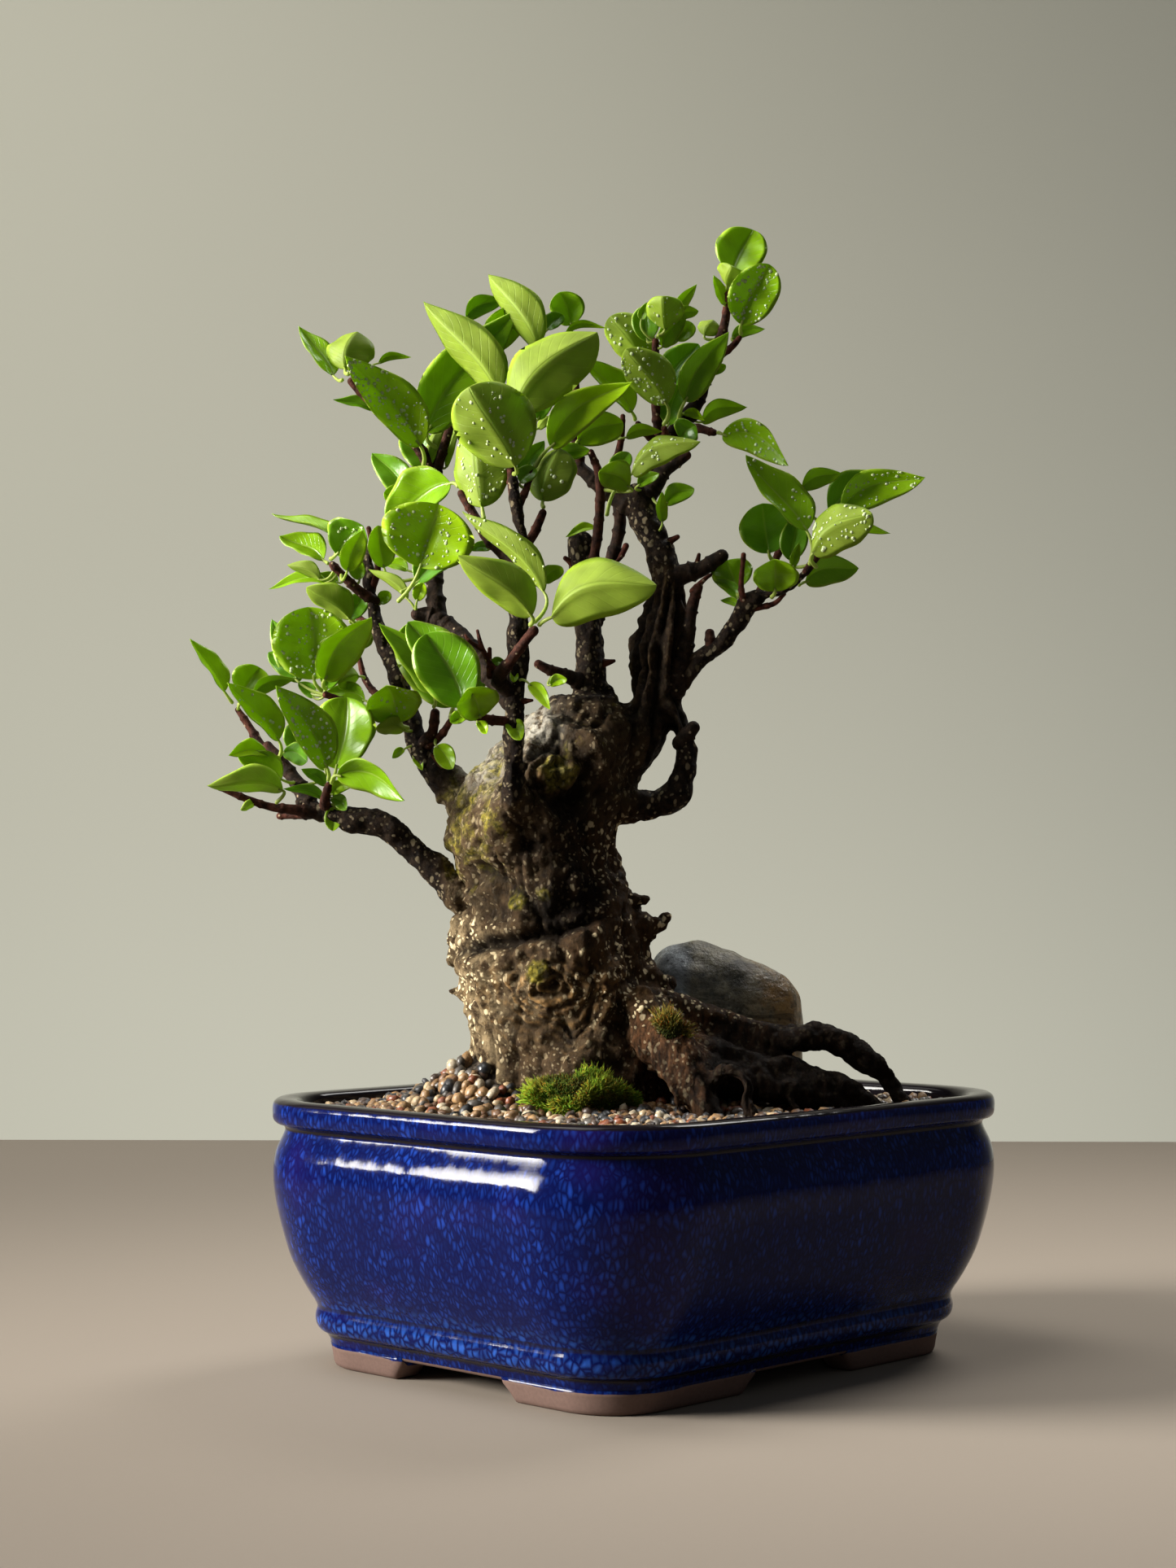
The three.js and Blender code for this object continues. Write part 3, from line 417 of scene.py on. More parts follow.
class Finish:
    """A node material being put together. Each call adds a node and gives back its output."""

    def __init__(self, name, **settings):
        self.material = bpy.data.materials.new(name)
        self.material.use_nodes = True
        self.tree = self.material.node_tree
        self.shader = self.tree.nodes["Principled BSDF"]
        for socket, value in settings.items():
            self.shader.inputs[socket.replace("_", " ")].default_value = value
        self.place = self.add("TexCoord", {}, "Object")

    def add(self, kind, inputs, output=0, **settings):
        node = self.tree.nodes.new("ShaderNode" + kind)
        for key, value in settings.items():
            setattr(node, key, value)
        for socket, value in inputs.items():
            if isinstance(value, bpy.types.NodeSocket):
                self.tree.links.new(value, node.inputs[socket])
            elif value is not None:
                node.inputs[socket].default_value = value
        return node.outputs[output]

    def number(self, name):
        """The value that the mesh keeps under this name."""
        return self.add("Attribute", {}, "Fac", attribute_name=name)

    def noise(self, size, detail=4.0, roughness=0.55, distortion=0.0, vector=None):
        """Noise whose largest features are this many metres across."""
        return self.add("TexNoise", {"Vector": vector or self.place, "Scale": 1 / size,
                                     "Detail": detail, "Roughness": roughness,
                                     "Distortion": distortion}, "Fac")

    def patches(self, size, low, high, detail=4.0, roughness=0.55, **more):
        """Noise spread out so that it is 0 up to low and 1 from high on."""
        return self.ramp(self.noise(size, detail, roughness, **more), (low, 0), (high, 1))

    def cells(self, size, output="Distance", vector=None, feature="F1"):
        """Random cells about this many metres across."""
        return self.add("TexVoronoi", {"Vector": vector or self.place, "Scale": 1 / size}, output,
                        feature=feature)

    def stretched(self, scale, rotation=(0, 0, 0), vector=None):
        """Coordinates turned and scaled, so that a pattern comes out long where the scale is small."""
        return self.add("Mapping", {"Vector": vector or self.place, "Scale": scale,
                                    "Rotation": rotation})

    def bent(self, size, amount):
        """Object coordinates pushed about by a noise."""
        wave = self.add("TexNoise", {"Vector": self.place, "Scale": 1 / size, "Detail": 2.0}, "Color")
        return self.add("MixRGB", {"Fac": amount, "Color1": self.place, "Color2": wave},
                        blend_type="LINEAR_LIGHT")

    def ramp(self, fac, *stops, kind="LINEAR"):
        """Colours or greys by position, as (position, colour)."""
        node = self.tree.nodes.new("ShaderNodeValToRGB")
        node.color_ramp.interpolation = kind
        elements = node.color_ramp.elements
        while len(elements) < len(stops):
            elements.new(0.5)
        for element, (position, shade) in zip(elements, stops):
            element.position = position
            shade = (shade,) * 3 if isinstance(shade, (int, float)) else tuple(shade)
            element.color = (*shade[:3], 1)
        self.tree.links.new(fac, node.inputs["Fac"])
        return node.outputs["Color"]

    def mix(self, fac, a, b, blend="MIX"):
        """From a to b by fac; each is an output or a colour."""

        def filled(value):
            return value if isinstance(value, bpy.types.NodeSocket) else (*tuple(value)[:3], 1)

        return self.add("MixRGB", {"Fac": fac, "Color1": filled(a), "Color2": filled(b)},
                        blend_type=blend)

    def maths(self, operation, a, b=None):
        return self.add("Math", {0: a, 1: b}, operation=operation)

    def times(self, *factors):
        """The product of outputs and numbers."""
        out = factors[0]
        for factor in factors[1:]:
            out = self.maths("MULTIPLY", out, factor)
        return out

    def bump(self, height, distance, strength=1.0, over=None):
        """A relief this many metres deep, on top of another."""
        inputs = {"Height": height, "Distance": distance, "Strength": strength}
        if over is not None:
            inputs["Normal"] = over
        return self.add("Bump", inputs, "Normal")

    def use(self, **sockets):
        """Puts outputs into the shader and gives back the finished material."""
        for socket, output in sockets.items():
            self.tree.links.new(output, self.shader.inputs[socket.replace("_", " ")])
        return self.material


def scaled(shade, factor):
    """A colour times a factor, with no channel over one."""
    return tuple(min(1.0, channel * factor) for channel in shade)


def glaze_finish():
    """A deep blue glaze full of drawn-out light cells, breaking dark where it is thin."""
    c = colours()
    f = Finish("blue_glaze", Roughness=0.1, IOR=1.36, Specular_IOR_Level=0.22)
    thin, pool, bare = f.number("thin"), f.number("pool"), f.number("bare")
    leaning = f.stretched((1, 1, 0.45), (0.16, 0.1, 0), f.bent(0.012, 0.0012))
    walls = f.cells(0.0016, vector=leaning, feature="DISTANCE_TO_EDGE")
    fine = f.ramp(walls, (0.03, 0), (0.42, 1))
    shares = f.ramp(f.cells(0.0016, "Color", leaning), (0.2, 0.15), (0.8, 1))
    broad = f.ramp(f.noise(0.03, 3), (0.36, 0.45), (0.66, 1))
    body = f.mix(f.times(fine, shares, broad), c.glaze, c.glaze_cells)
    violet = f.ramp(f.noise(0.05, 2), (0.55, 0), (0.78, 0.18))
    body = f.mix(violet, body, (0.035, 0.006, 0.13))
    round_cells = f.stretched((1, 1, 0.72), vector=f.bent(0.01, 0.001))
    drops = f.cells(0.0024, vector=round_cells, feature="DISTANCE_TO_EDGE")
    drops = f.ramp(drops, (0.05, 0), (0.34, 1))
    rings = f.mix(drops, scaled(c.glaze, 1.2), (0.020, 0.080, 0.36))
    body = f.mix(f.times(pool, f.ramp(f.noise(0.012, 3), (0.35, 0.45), (0.6, 1))), body, rings)
    edge = f.maths("ADD", f.times(f.noise(0.004, 3), 0.35), -0.16)
    thin_glaze_and_pale_bark = f.ramp(f.maths("ADD", thin, edge), (0.35, 0), (0.75, 1))
    body = f.mix(thin_glaze_and_pale_bark, body, (0.008, 0.006, 0.008))
    grit = f.mix(f.noise(0.0011, 5), scaled(c.clay, 0.72), scaled(c.clay, 1.12))
    line = f.ramp(f.maths("ADD", bare, f.times(edge, 0.5)), (0.46, 0), (0.54, 1))
    rough = f.maths("ADD", f.times(line, 0.72), f.ramp(f.noise(0.006), (0.3, 0.06), (0.8, 0.12)))
    waves = f.bump(f.noise(0.018, 2), 0.0007, 0.45)
    pits = f.bump(f.noise(0.0016, 2), 0.00006, 0.25, waves)
    return f.use(Base_Color=f.mix(line, body, grit), Roughness=rough, Normal=pits)


def soil_finish():
    f = Finish("potting_soil", Roughness=0.95)
    crumbs = f.cells(0.003)
    shade = f.mix(f.noise(0.004), (0.012, 0.008, 0.005), (0.06, 0.04, 0.025))
    return f.use(Base_Color=shade, Normal=f.bump(crumbs, 0.0015))


def mesh_finish():
    f = Finish("drain_mesh", Roughness=0.5)
    shade = f.mix(f.noise(0.003), (0.012, 0.012, 0.012), (0.03, 0.03, 0.03))
    return f.use(Base_Color=shade, Normal=f.bump(f.noise(0.0008), 0.0002, 0.4))


def grit_finish():
    """The dark fine grit that shows between the pebbles."""
    f = Finish("grit", Roughness=0.9)
    shade = f.mix(f.noise(0.0016, 5), (0.008, 0.006, 0.005), (0.10, 0.07, 0.045))
    return f.use(Base_Color=shade, Normal=f.bump(f.cells(0.0016), 0.0012))


PEBBLE_SHADES = (
    (0.0, (0.29, 0.165, 0.07)), (0.13, (0.50, 0.36, 0.20)), (0.24, (0.17, 0.08, 0.032)),
    (0.34, (0.016, 0.017, 0.020)), (0.44, (0.085, 0.07, 0.055)), (0.54, (0.38, 0.22, 0.09)),
    (0.64, (0.07, 0.038, 0.022)), (0.74, (0.58, 0.48, 0.33)), (0.84, (0.24, 0.065, 0.020)),
    (0.92, (0.035, 0.033, 0.035)),
)


def pebble_finish():
    f = Finish("river_gravel", Roughness=0.45)
    shade = f.ramp(f.number("tint"), *PEBBLE_SHADES, kind="CONSTANT")
    shade = f.mix(f.times(f.noise(0.0012, 4), 0.75), shade, (0.05, 0.035, 0.02), "MULTIPLY")
    veins = f.ramp(f.noise(0.0022, 3, distortion=1.5), (0.45, 0.7), (0.6, 1.25))
    shade = f.mix(0.7, shade, veins, "MULTIPLY")
    rough = f.ramp(f.noise(0.008), (0.3, 0.28), (0.7, 0.62))
    return f.use(Base_Color=shade, Roughness=rough,
                 Normal=f.bump(f.noise(0.0009, 3), 0.0002, 0.5))


def stone_finish():
    """A wet river stone: olive grey, warming to ochre at one end, with a painted highlight in pale blue-grey
    at the other.
    """
    c = colours()
    f = Finish("river_stone", Roughness=0.35, Specular_IOR_Level=0.3)
    mottled = f.mix(f.patches(0.008, 0.40, 0.60, 6, 0.65), scaled(c.stone, 0.4),
                    scaled(c.stone, 1.6))
    warm = f.mix(f.times(f.number("warm"), f.ramp(f.noise(0.006, 4), (0.35, 0.3), (0.6, 1))),
                 mottled, (0.32, 0.175, 0.05))
    # Painted highlight: the stone's left end turns pale blue-grey where the window light falls on it.
    cool = f.mix(f.number("cool"), warm, (0.42, 0.46, 0.50))
    bedding = f.stretched((1, 1, 2.4), (0.2, 0.3, 0))
    bands = f.ramp(f.noise(0.02, 6, 0.7, 2.0, bedding), (0.40, 0.35), (0.6, 1.2))
    shade = f.mix(0.85, cool, bands, "MULTIPLY")
    specks = f.ramp(f.cells(0.0024), (0.1, 0.35), (0.3, 1))
    shade = f.mix(0.8, shade, specks, "MULTIPLY")
    rough = f.ramp(f.noise(0.01, 3), (0.35, 0.16), (0.7, 0.5))
    bumps = f.bump(f.noise(0.004, 6, 0.65), 0.0016, 0.9)
    return f.use(Base_Color=shade, Roughness=rough, Normal=bumps)


def moss_finish():
    """Fresh green and olive tufts, with painted shade that turns them nearly black down between the strands.
    """
    c = colours()
    f = Finish("moss", Roughness=0.85, Specular_IOR_Level=0.2, Subsurface_Weight=0.15,
               Subsurface_Scale=0.001)
    olive = f.mix(f.ramp(f.noise(0.007, 3), (0.42, 0), (0.66, 0.8)), c.moss, (0.19, 0.16, 0.014))
    # Painted shade: the moss goes nearly black on the body and at the strands' feet, and lightens towards
    # their tips.
    deep = f.mix(1.0, olive, (0.07, 0.08, 0.08), "MULTIPLY")
    olive = f.mix(f.number("dry"), olive, (0.105, 0.085, 0.010))
    shade = f.mix(f.number("tip"), deep, olive)
    return f.use(Base_Color=shade, Normal=f.bump(f.noise(0.0008), 0.0003, 0.5))


def bark_finish():
    """Old bark: brown and grey-olive, with pale pores, pale patches and green growth, painted light on its
    lit side, a painted highlight on the dome and painted shade in its recesses.
    """
    c = colours()
    f = Finish("bark", Roughness=0.75, Specular_IOR_Level=0.05)
    broad = f.patches(0.02, 0.35, 0.65, 5, 0.6)
    fine = f.patches(0.0028, 0.38, 0.64, 6, 0.7)
    shade = f.mix(broad, scaled(c.bark, 0.2), scaled(c.bark, 0.8))
    shade = f.mix(f.times(fine, 0.6), shade, (0.085, 0.052, 0.024))
    # Painted light: the bark turns pale in patches on the trunk's lit left side.
    dry = f.times(f.number("lit"), f.patches(0.0045, 0.42, 0.6, 6, 0.7))
    shade = f.mix(f.times(dry, 0.8), shade, (0.33, 0.245, 0.135))
    rings = f.times(f.number("ring"), f.ramp(f.noise(0.0022, 4), (0.38, 0.05), (0.62, 1)))
    shade = f.mix(rings, shade, (0.40, 0.23, 0.085))
    # Pale grey patches high on the trunk, and a painted highlight where the window light strikes the dome.
    thin_glaze_and_pale_bark = f.times(f.number("pale"), f.patches(0.004, 0.38, 0.56, 6, 0.7))
    shade = f.mix(thin_glaze_and_pale_bark, shade, (0.50, 0.47, 0.39))
    cover = f.maths("ADD", f.number("green"), f.maths("SUBTRACT", f.noise(0.007, 6, 0.7), 0.5))
    growth = f.mix(f.patches(0.002, 0.4, 0.62, 5), (0.040, 0.044, 0.006), (0.32, 0.265, 0.035))
    shade = f.mix(f.times(f.ramp(cover, (0.42, 0), (0.58, 1)), 0.85), shade, growth)
    limb = f.mix(f.patches(0.002, 0.4, 0.68, 5, 0.65), (0.007, 0.0045, 0.0035),
                 (0.036, 0.023, 0.014))
    shade = f.mix(f.number("limb"), shade, limb)
    spread = f.cells(0.0029, vector=f.stretched((1, 1, 0.62), vector=f.bent(0.004, 0.0014)))
    pore = f.ramp(spread, (0.20, 1), (0.29, 0))
    small = f.ramp(f.cells(0.0019, vector=f.bent(0.003, 0.001)), (0.22, 1), (0.31, 0))
    fibre = f.patches(0.0016, 0.38, 0.62, 5, 0.7, vector=f.stretched((1, 1, 0.3)))
    root = f.mix(fibre, (0.010, 0.005, 0.003), (0.13, 0.058, 0.024))
    shade = f.mix(f.times(f.number("root"), 0.85), shade, root)
    dots = f.maths("MAXIMUM", f.times(pore, f.number("pores")),
                   f.times(small, f.number("pores"), f.patches(0.012, 0.40, 0.52, 2)))
    shade = f.mix(f.times(dots, 0.95), shade, (0.88, 0.72, 0.44))
    # Painted shade: the dark mark turns the cracks, groove, hollows and shaded roots nearly black.
    shade = f.mix(f.times(f.number("dark"), 0.92), shade, (0.0045, 0.003, 0.002))
    grain = f.bump(f.noise(0.0016, 6, 0.75), 0.0011, 1.0)
    cracks = f.bump(f.cells(0.004, vector=f.bent(0.006, 0.003)), 0.0010, 0.6, grain)
    raised = f.bump(dots, 0.0004, 0.7, cracks)
    rough = f.ramp(fine, (0.0, 0.46), (1.0, 0.85))
    return f.use(Base_Color=shade, Roughness=rough, Normal=raised)


def twig_finish():
    """Branch bark, red-brown and smoother on the young wood, with scattered pale pores."""
    c = colours()
    f = Finish("branch_bark", Roughness=0.7, Specular_IOR_Level=0.07)
    young = f.number("young")
    fine = f.patches(0.0022, 0.35, 0.68, 5, 0.6)
    old = f.mix(fine, (0.006, 0.004, 0.003), (0.030, 0.018, 0.011))
    new = f.mix(fine, scaled(c.twig, 0.18), scaled(c.twig, 1.2))
    shade = f.mix(young, old, new)
    shade = f.mix(f.times(f.number("cut"), 0.9), shade, (0.36, 0.24, 0.14))
    shade = f.mix(f.times(f.number("green"), 0.9), shade, (0.26, 0.30, 0.05))
    pore = f.ramp(f.cells(0.0034), (0.09, 1), (0.16, 0))
    shade = f.mix(f.times(pore, 0.7), shade, (0.36, 0.27, 0.17))
    grain = f.bump(f.noise(0.0012, 5, 0.7), 0.0005, 0.9)
    return f.use(Base_Color=shade, Normal=f.bump(pore, 0.0003, 0.5, grain))


def leaf_finish():
    """Blades: glossy above, matte and paler below, with a pale midrib, side veins and margin."""
    c = colours()
    f = Finish("leaf", Roughness=0.4, IOR=1.45, Specular_IOR_Level=0.38)
    tone, along, across = f.number("tone"), f.number("along"), f.number("across")
    reach = f.maths("ABSOLUTE", across)
    slanted = f.maths("SUBTRACT", f.times(along, 58.0), f.times(reach, 17.0))
    vein = f.ramp(f.maths("SINE", slanted), (0.90, 0), (1.0, 1))
    rib = f.ramp(reach, (0.02, 1), (0.07, 0))
    lines = f.maths("MAXIMUM", f.times(vein, 0.22), f.times(rib, 0.75))
    # Tone sets each leaf's colour from young to hardened, and with it painted light: glowing leaves pale,
    # shaded leaves dark.
    above = f.mix(tone, c.leaf_young, c.leaf_old)
    below = f.mix(tone, c.leaf_under, scaled(c.leaf_under, 0.45))
    blotch = f.ramp(f.noise(0.007, 4), (0.3, 0.80), (0.7, 1.14))
    face = f.mix(f.number("upper"), below, above)
    face = f.mix(1.0, face, blotch, "MULTIPLY")
    pale = f.mix(tone, (0.42, 0.56, 0.06), (0.22, 0.38, 0.06))
    face = f.mix(lines, face, pale)
    margin = f.ramp(reach, (0.9, 0), (0.985, 0.8))
    face = f.mix(margin, face, scaled(tuple(c.leaf_under), 1.5))
    stalk = f.mix(f.noise(0.003), (0.26, 0.36, 0.05), (0.42, 0.45, 0.12))
    face = f.mix(f.number("stalk"), face, stalk)
    rough = f.mix(f.number("upper"), (0.58,) * 3, (0.24,) * 3)
    relief = f.bump(lines, 0.0003, 0.7)
    pores = f.bump(f.noise(0.0006, 2), 0.00005, 0.5, relief)
    f.use(Base_Color=face, Roughness=rough, Normal=pores)
    glow = f.add("BsdfTranslucent", {"Color": f.mix(0.55, face, (0.42, 0.68, 0.02))})
    both = f.add("MixShader", {0: 0.40, 1: f.shader.outputs[0], 2: glow})
    f.tree.links.new(both, f.tree.nodes["Material Output"].inputs["Surface"])
    return f.material


def water_finish():
    """Small beads, a little see-through, with a pale colour that paints them as highlights, each with a
    bright point of light on it.
    """
    f = Finish("water", Roughness=0.04, IOR=1.33, Specular_IOR_Level=0.9, Transmission_Weight=0.25)
    # Painted highlight: the pale base colour makes each bead read as a bright dot.
    return f.use(Base_Color=f.mix(f.noise(0.01, 1), (0.50, 0.62, 0.26), (0.70, 0.80, 0.50)))


# ---- Pot ----

POT_CORNER = 40
MIN_CORNER = 4
FOOT_HEIGHT = 6
FOOT_CUT = 54                  # length of the opening between two feet, along the floor
FOOT_SLOPE = 5                 # how far each end of that opening leans in
BASE_INSET = 20
FOOT_WALL = 11
DRAIN_X, DRAIN_RADIUS = 42.6, 10
DRILL_SIDES, DRILL_HEIGHT = 32, 20.0

# The outside, from under the floor to the outer edge of the lip, as [inset from the lip, height].
OUTSIDE = [
    (31, 6), (21, 6), (19.3, 6.8), (18.6, 8.8), (17.4, 10.6), (15.4, 11.9), (14.3, 13.6),
    (14.0, 15.6), (14.3, 17.4), (14.7, 18.9), (13.9, 20.8), (11.8, 24), (8.6, 29.5), (6.0, 35),
    (3.6, 42.5), (1.7, 50), (0.6, 56.5), (0.3, 61), (0.6, 65.5), (1.6, 69.5), (3.0, 72.4),
    (3.9, 74.4), (4.1, 75.8), (3.2, 76.8), (1.3, 77.4), (0.3, 78.6), (0, 80.6), (0.05, 82.6),
    (0.6, 84.2), (1.8, 85),
]
# And on from there over the lip and down the inside wall to the floor.
INSIDE = [
    (4.5, 85.1), (7.4, 84.9), (8.8, 84.3), (9.5, 82.8), (9.6, 79.5), (10.4, 76.5), (11.2, 74),
    (9.6, 66), (9, 58), (10.5, 46), (14.6, 33), (17.5, 27), (20, 21), (23, 16), (28.5, 14),
]
CORNER_STEPS = 15
SIDE_STEPS = 26
FLOOR_SHARES = np.array([0.3, 0.65])   # rings across the floor, as shares of the floor's edge
LIP, NECK, BASE_BEAD, BASE_EDGE = 84.6, 75.9, 19.4, 10.6      # heights where the glaze breaks dark


def outline(inset, height):
    """The rounded rectangle of the lip drawn in by an inset, for arrays of insets and heights.

    Each corner is a quarter circle about its own centre, and straight runs join the corners.
    """
    inset, height = np.asarray(inset, float)[..., None], np.asarray(height, float)[..., None]
    half_x, half_y = POT_LENGTH / 2 - inset, POT_WIDTH / 2 - inset
    radius = np.maximum(POT_CORNER - inset, MIN_CORNER)
    angle = np.linspace(0, np.pi / 2, CORNER_STEPS + 1)
    run = np.linspace(0, 1, SIDE_STEPS + 1)[1:-1]
    signs = ((1, 1), (-1, 1), (-1, -1), (1, -1))
    x, y = [], []
    for corner, (sx, sy) in enumerate(signs):
        turn = angle + corner * np.pi / 2
        x.append(sx * (half_x - radius) + radius * np.cos(turn))
        y.append(sy * (half_y - radius) + radius * np.sin(turn))
        tx, ty = signs[(corner + 1) % 4]
        next_turn = (corner + 1) * np.pi / 2
        next_x = tx * (half_x - radius) + radius * math.cos(next_turn)
        next_y = ty * (half_y - radius) + radius * math.sin(next_turn)
        x.append(x[-1][..., -1:] + run * (next_x - x[-1][..., -1:]))
        y.append(y[-1][..., -1:] + run * (next_y - y[-1][..., -1:]))
    x, y = np.concatenate(x, axis=-1), np.concatenate(y, axis=-1)
    return np.stack([x, y, np.broadcast_to(height, x.shape)], axis=-1) + POT_MIDDLE


def profile(rows, spacing):
    """A smooth profile through (inset, height) rows."""
    rows = np.array(rows, float)
    return spline(np.column_stack([rows, np.zeros(len(rows))]), spacing)[:, :2]


def pot_body():
    """One closed skin: the profile carried round the outline, closed under and over the floor."""
    outer, inner = profile(OUTSIDE, 1.1), profile(INSIDE, 1.6)
    rows = np.concatenate([outer, inner])
    rings = outline(rows[:, 0], rows[:, 1])
    rings += 0.22 * noise(rings, 24)[..., None] * unit(rings - rings.mean(axis=1, keepdims=True))

    def shrunk(ring, shares):
        """Copies of a ring drawn in to shares of its size."""
        middle = np.array([*POT_MIDDLE[:2], ring[0, 2]])
        return middle + shares[:, None, None] * (ring - middle)

    rings = np.concatenate([shrunk(rings[0], FLOOR_SHARES), rings,
                            shrunk(rings[-1], FLOOR_SHARES[::-1])])
    more = (len(FLOOR_SHARES), len(FLOOR_SHARES))
    inset, height = np.pad(rows, (more, (0, 0)), mode="edge").T
    over = np.arange(len(height)) >= len(outer) + len(FLOOR_SHARES)
    thin = (0.9 * bell(height - NECK, 0.9) + 1.0 * bell(height - LIP, 1.0)
            + 0.9 * bell(height - BASE_BEAD, 0.7) + 0.8 * bell(height - BASE_EDGE, 1.3))
    thin = np.where(over & (height < 84), 0.9, thin)
    pool = np.where(over, 0, np.maximum(bell(height - 14.6, 3.0), 0.55 * bell(height - 21, 2.6)))
    bare = np.where((inset > 19.0) & (height < 7) | over & (height < 73), 1.0, 0.0)
    return rings, dict(thin=thin, pool=pool, bare=bare)


def foot(sign_x, sign_y):
    """A bracket foot: a rounded block section carried from one side, round the corner, to the other.

    The ends lean in with height, so the opening between two feet is wider at the floor.
    """
    edge, top = 1.6, FOOT_HEIGHT + 1.5
    section = np.array([
        (BASE_INSET + edge * 0.9, 0), (BASE_INSET + edge * 0.3, edge * 0.35), (BASE_INSET, edge),
        (BASE_INSET - 0.3, 3.6), (BASE_INSET - 0.7, 5.6), (BASE_INSET - 1.1, top),
        (BASE_INSET + FOOT_WALL, top), (BASE_INSET + FOOT_WALL, 4), (BASE_INSET + FOOT_WALL, edge),
        (BASE_INSET + FOOT_WALL - 0.5, 0.4), (BASE_INSET + FOOT_WALL - 1.5, 0),
        (BASE_INSET + FOOT_WALL / 2, 0),
    ])
    inset, height = section.T
    radius = np.maximum(POT_CORNER - inset, MIN_CORNER)
    centre_x = POT_LENGTH / 2 - inset - radius
    centre_y = POT_WIDTH / 2 - inset - radius
    start = FOOT_CUT / 2 - FOOT_SLOPE * np.clip(height / FOOT_HEIGHT, 0, 1) ** 1.5
    run, turn = np.linspace(0, 1, 9), np.linspace(0, np.pi / 2, 13)
    x = np.concatenate([
        start + run[:, None] * (centre_x - start), centre_x + radius * np.sin(turn)[1:-1, None],
        np.broadcast_to(centre_x + radius, (9, len(inset)))])
    y = np.concatenate([
        np.broadcast_to(centre_y + radius, (9, len(inset))),
        centre_y + radius * np.cos(turn)[1:-1, None], centre_y + run[:, None] * (start - centre_y)])
    z = np.broadcast_to(height, x.shape)
    rings = np.stack([sign_x * x, sign_y * y, z], axis=-1)
    inward, outward = 0.78, 0.9        # how a last ring is drawn in and pushed out to round the end

    def end(ring, push):
        middle = ring.mean(axis=0)
        return (middle + inward * (ring - middle) + push)[None]

    rings = np.concatenate([end(rings[0], [-outward * sign_x, 0, 0]), rings,
                            end(rings[-1], [0, -outward * sign_y, 0])])
    rings[..., 2] = np.maximum(rings[..., 2], 0)
    if sign_x * sign_y < 0:
        rings = rings[:, ::-1]
    return rings + POT_MIDDLE


def bored(mesh, side):
    """A copy of the pot's mesh with the drain hole on one side cut through its floor."""
    angle = all_round(DRILL_SIDES)
    circle = [DRAIN_RADIUS * np.cos(angle), DRAIN_RADIUS * np.sin(angle)]
    ends = [np.stack([*circle, np.full(DRILL_SIDES, z)], axis=1) for z in (0.0, DRILL_HEIGHT)]
    skin = Skin()
    skin.add_rings(np.array(ends) + POT_MIDDLE + [side * DRAIN_X, 0, 0])
    drill = placed("drill", skin.mesh("drill"))
    result = with_modifier(mesh, "BOOLEAN", operation="DIFFERENCE", object=drill)
    bpy.data.objects.remove(drill)
    return result


def make_pot():
    """The glazed body with its two drain holes, and four feet glazed down to a wavy line."""
    skin = Skin("thin", "pool", "bare")
    rings, values = pot_body()
    skin.add_rings(rings, **values)
    pot = skin.piece("pot_body", glaze_finish(), "blue_glaze")
    for side in (-1, 1):
        pot.data = bored(pot.data, side)
    pot.data.name = "pot_body"
    pot.data.polygons.foreach_set("use_smooth", np.ones(len(pot.data.polygons), bool))
    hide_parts("pot")
    feet = Skin("thin", "pool", "bare")
    for sign_x in (-1, 1):
        for sign_y in (-1, 1):
            grid = foot(sign_x, sign_y)
            glaze_line = 6.3 + 0.8 * noise(grid, 14)
            feet.add_rings(grid, bare=smooth_step(0.8, -0.8, grid[..., 2] - glaze_line),
                           pool=0.5 * bell(grid[..., 2] - 7.4, 1.0))
    feet.piece("pot_feet", pot.data.materials[0], "blue_glaze", "pot")


# ---- Soil, gravel, stone and moss ----

FILL_INSET = 12.0              # from the lip to the inside wall at the height of the gravel
GRIT_DROP, GRIT_RINGS = 2.6, 46
PEBBLE_LAYERS = ((1.5, 0.97), (0.3, 0.72))    # how deep each layer sits, and how full it is
ROW_SHARE = 0.87               # pitch of the lattice's rows, as a share of the pitch along them
GRAVEL_LEVEL = POT_HEIGHT - 4
MOUND_AT, MOUND_HEIGHT, MOUND_SPREAD = on_plant([-48, -2, EYE_HEIGHT]), 19, 21
SWELL_AT, SWELL_HEIGHT, SWELL_SPREAD = on_plant([-14, 0, EYE_HEIGHT]), 6, 42


def ground(points):
    """Height of the gravel: a level bed, a heap beside the trunk and a gentle swell round it."""
    mound = np.linalg.norm(points[..., :2] - MOUND_AT[:2], axis=-1)
    swell = np.linalg.norm(points[..., :2] - SWELL_AT[:2], axis=-1)
    return (GRAVEL_LEVEL + MOUND_HEIGHT * bell(mound, MOUND_SPREAD)
            + SWELL_HEIGHT * bell(swell, SWELL_SPREAD))


def make_soil():
    """The soil and the screens are right as they are, and only take their finish."""
    for node, finish in (("soil", soil_finish()), ("drain_screen_left", mesh_finish()),
                         ("drain_screen_right", mesh_finish())):
        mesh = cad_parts[node].data
        mesh.materials.clear()
        mesh.materials.append(finish)


def within_fill(points, margin):
    """Whether points lie inside the pot's inner outline by at least a margin."""
    flat = np.abs(points[..., :2] - POT_MIDDLE[:2])
    half = np.array([POT_LENGTH / 2, POT_WIDTH / 2]) - FILL_INSET - margin
    radius = POT_CORNER - FILL_INSET
    over = flat - (half - radius)
    corner = np.linalg.norm(np.maximum(over, 0), axis=-1)
    return (flat <= half).all(axis=-1) & (corner <= radius)


